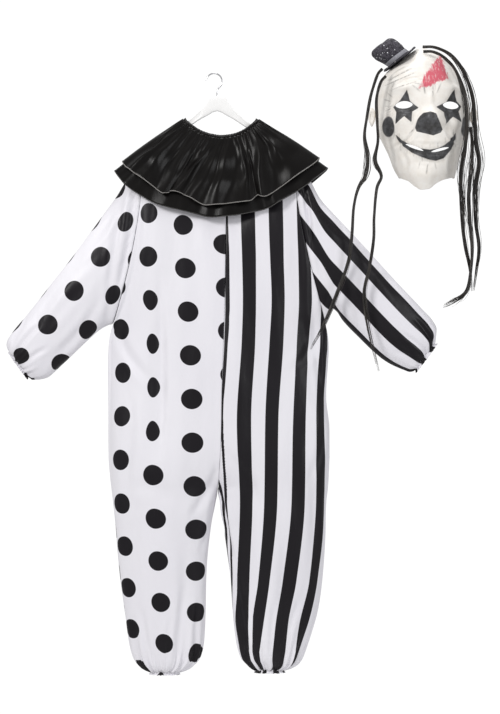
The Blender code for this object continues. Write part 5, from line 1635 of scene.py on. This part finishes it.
# ---------------------------------------------------------------- the hair
def smooth_route(points, steps):
    """Points read from a smooth curve through a route's own points."""
    route = [Vector(point) for point in points]
    ends = [route[0] * 2.0 - route[1]] + route + [route[-1] * 2.0 - route[-2]]
    sampled = []
    for before, start, end, after in zip(ends, ends[1:], ends[2:], ends[3:]):
        for k in range(steps):
            t = k / steps
            leave, arrive = (end - before) / 2, (after - start) / 2
            rise = end - start
            sampled.append(start + t * (leave + t * (3.0 * rise - 2.0 * leave - arrive
                                                     + t * (leave + arrive - 2.0 * rise))))
    return sampled + [route[-1]]


# where a lock's strands stray: share of the way, length of the stray, and how far
STRAYS = {
    "hair_left_outer": [(0.42, 0.08, 0.010), (0.86, 0.14, 0.005)],
    "hair_left_inner": [(0.40, 0.05, 0.004), (0.92, 0.10, 0.006)],
    "hair_right_outer": [(0.62, 0.18, 0.016), (0.34, 0.14, 0.009)],
    "hair_right_inner": [(0.66, 0.18, 0.011), (0.38, 0.10, 0.006)],
    "hair_right_tail": [(0.30, 0.18, 0.015), (0.90, 0.16, 0.012)],
}
STRAND_COUNT = 34
STRAND_RADIUS = 0.00078
LOCK_RADIUS = 0.0045
GOLDEN_TURN = 2.39996         # spreads the strands evenly round a lock


def lay_hair(name, points, material):
    route = smooth_route(points, 6)
    last = len(route) - 1
    strands = []
    for k in range(STRAND_COUNT):
        ring = math.sqrt((k + 0.5) / STRAND_COUNT)
        start = k * GOLDEN_TURN
        loose = 1.0 if k % 4 == 0 else 0.18
        strand = []
        finish_at = last - (k * 7) % 9
        for j in range(finish_at + 1):
            share = j / last
            ahead = (route[min(j + 1, last)] - route[max(j - 1, 0)]).normalized()
            side = ahead.cross(Vector((0.0, 1.0, 0.0))).normalized()
            depth = side.cross(ahead)
            stray = sum(far * math.exp(-((share - at) / length) ** 2) for at, length, far in STRAYS[name])
            turn = start + 5.0 * share + 1.4 * noise.noise(Vector((share * 5.0, k * 1.7, 0.0)))
            reach = LOCK_RADIUS * ring * (0.80 + 0.35 * noise.noise(Vector((share * 9.0, 0.0, k * 0.9))))
            wander = stray * loose * (0.7 + 0.5 * noise.noise(Vector((share * 7.0, k * 2.3, 4.0))))
            out = side * math.cos(turn) * (reach + wander) + depth * math.sin(turn) * (reach + 0.3 * wander)
            strand.append(route[j] + out)
        strands.append((strand, STRAND_RADIUS * (0.75 if loose == 1.0 else 1.0)))
    lock = name.replace("hair_", "hair_lock_")
    return draw_wires(lock, strands, 0, material, "hair", name)


# ---------------------------------------------------------------- the scene round it
def light_area(name, place, aim, size, power, colour):
    lamp = bpy.data.lights.new(name, "AREA")
    lamp.shape = "DISK"
    lamp.size = size
    lamp.energy = power
    lamp.color = colour
    holder = bpy.data.objects.new(name, lamp)
    holder.location = place
    holder.rotation_euler = (Vector(aim) - Vector(place)).to_track_quat("-Z", "Y").to_euler()
    bpy.context.scene.collection.objects.link(holder)


FLOOR_RADIUS = 1.02
FLOOR_MIDDLE = (0.08, 0.0, -1.93)


def set_studio():
    world = bpy.data.worlds.new("white studio")
    world.use_nodes = True
    bpy.context.scene.world = world
    nodes, links = world.node_tree.nodes, world.node_tree.links
    sky = nodes["Background"]
    sky.inputs["Color"].default_value = (1.0, 1.0, 1.0, 1.0)
    seen = nodes.new("ShaderNodeLightPath")
    level = nodes.new("ShaderNodeMapRange")
    level.inputs["To Min"].default_value = 0.50
    level.inputs["To Max"].default_value = 1.05
    links.new(seen.outputs["Is Camera Ray"], level.inputs["Value"])
    links.new(level.outputs["Result"], sky.inputs["Strength"])
    middle = (0.05, 0.0, -0.8)
    light_area("key", (-2.6, -3.6, 1.6), middle, 1.3, 118.0, (1.0, 0.99, 0.98))
    light_area("fill", (3.2, -3.2, 0.2), middle, 2.0, 44.0, (0.97, 0.98, 1.0))
    light_area("top", (0.2, 0.3, 2.8), middle, 1.6, 46.0, (1.0, 1.0, 1.0))

    floor_bm = bmesh.new()
    bmesh.ops.create_circle(floor_bm, cap_ends=True, segments=96, radius=FLOOR_RADIUS)
    bmesh.ops.translate(floor_bm, vec=FLOOR_MIDDLE, verts=floor_bm.verts)
    floor = add_piece("floor", floor_bm)
    pale = Finish("pale floor", 0.6)
    cloud = pale.grain(3.0, 2.0)
    pale.colour(pale.blend(cloud, (0.80, 0.80, 0.80), (0.86, 0.86, 0.86)))
    floor.data.materials.append(pale.material)


def set_camera():
    lens = bpy.data.cameras.new("camera")
    lens.sensor_fit = "VERTICAL"
    lens.sensor_height = 36.0
    lens.lens = 112.0
    lens.dof.use_dof = False
    lens.clip_end = 50.0
    camera = bpy.data.objects.new("camera", lens)
    camera.location = (VIEW_SPOT[0], -VIEW_DISTANCE, VIEW_SPOT[1])
    camera.rotation_euler = (math.radians(90.0), 0.0, 0.0)
    bpy.context.scene.collection.objects.link(camera)
    bpy.context.scene.camera = camera
    bpy.context.scene.view_settings.view_transform = "Standard"


# ---------------------------------------------------------------- making it all
set_camera()
set_studio()

dots, stripes, black = dot_satin(), stripe_satin(), black_satin()
overlock = thread_finish("grey overlock thread", (0.42, 0.40, 0.38))
dark_overlock = thread_finish("dark overlock thread", (0.060, 0.055, 0.052))

dot_pieces = sew_half(DOT_HALF, (dot_chart(), dot_chart(0.012, 0.040)), DOT_CREASES, DOT_SLEEVE_CREASES,
                      (-0.637, 0.0, -0.771), (-0.09, -0.6906, 0.0075), dots, "dot_satin")
stripe_pieces = sew_half(STRIPE_HALF, (stripe_chart(), stripe_chart(0.012)), STRIPE_CREASES,
                         STRIPE_SLEEVE_CREASES, (0.66, 0.0, -0.75), (-0.036, 0.0), stripes, "stripe_satin")
placket = sew_placket(dots)

band = sew_band(black)
lower_layer = Layer(LOWER_FRONT_HEM, LOWER_BACK_HEM, LOWER_OUT)
upper_layer = Layer(UPPER_FRONT_HEM, UPPER_BACK_HEM, UPPER_OUT)
lower, lower_laid = sew_ruffle("collar_lower_ruffle", lower_layer, 0.2, 0.30, black, "collar_lower")
upper, upper_laid = sew_ruffle("collar_upper_ruffle", upper_layer, 1.0, 1.0, black, "collar_upper")
lower_hem = sew_hem("collar_lower_hem", lower_laid, dark_overlock)
upper_hem = sew_hem("collar_upper_hem", upper_laid, overlock)

mould_hanger(hanger_plastic())
bend_hook(bright_wire())
mould_mask(moulded_latex(), moulded_latex(painted=False))
elastic = fit_elastic(woven_elastic())
make_hat(glitter_felt(), silver_ribbon())
hair = long_hair()
for lock, points in HAIR.items():
    lay_hair(lock, points, hair)


# each sheet of cloth, with the size of the cut that shows
for piece, flat, held, rests, area, others in (
        (dot_pieces[0], (0.46, 1.50), "hung", ["hanger_moulding"], 0.43, []),
        (dot_pieces[1], (0.46, 1.50), "hung", ["hanger_moulding"], 0.43, []),
        (dot_pieces[2], (0.96, 0.58), "hung", ["dot_front_panel"], 0.27, []),
        (dot_pieces[3], (0.33, 0.010), "gathered", ["dot_sleeve_tube"], None, []),
        (dot_pieces[4], (0.30, 0.010), "gathered", ["dot_front_panel"], None, []),
        (stripe_pieces[0], (0.46, 1.50), "hung", ["hanger_moulding"], 0.41, []),
        (stripe_pieces[1], (0.46, 1.50), "hung", ["hanger_moulding"], 0.41, []),
        (stripe_pieces[2], (0.96, 0.58), "hung", ["stripe_front_panel"], 0.27, []),
        (stripe_pieces[3], (0.33, 0.010), "gathered", ["stripe_sleeve_tube"], None, []),
        (stripe_pieces[4], (0.30, 0.010), "gathered", ["stripe_front_panel"], None, []),
        (placket, (0.024, 0.76), "stretched", ["dot_back_panel", "stripe_back_panel"], None, []),
        (band, (0.62, 0.013), "gathered", ["hanger_moulding"], None, []),
        (lower, (1.55, 0.185), "gathered", ["dot_front_panel", "stripe_front_panel"], None, [lower_hem]),
        (upper, (1.50, 0.165), "gathered", ["collar_lower_ruffle"], None, [upper_hem]),
        (elastic, (0.018, 0.245), "stretched", ["mask_face_shell"], None, [])):
    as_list(rests)
    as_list(others)
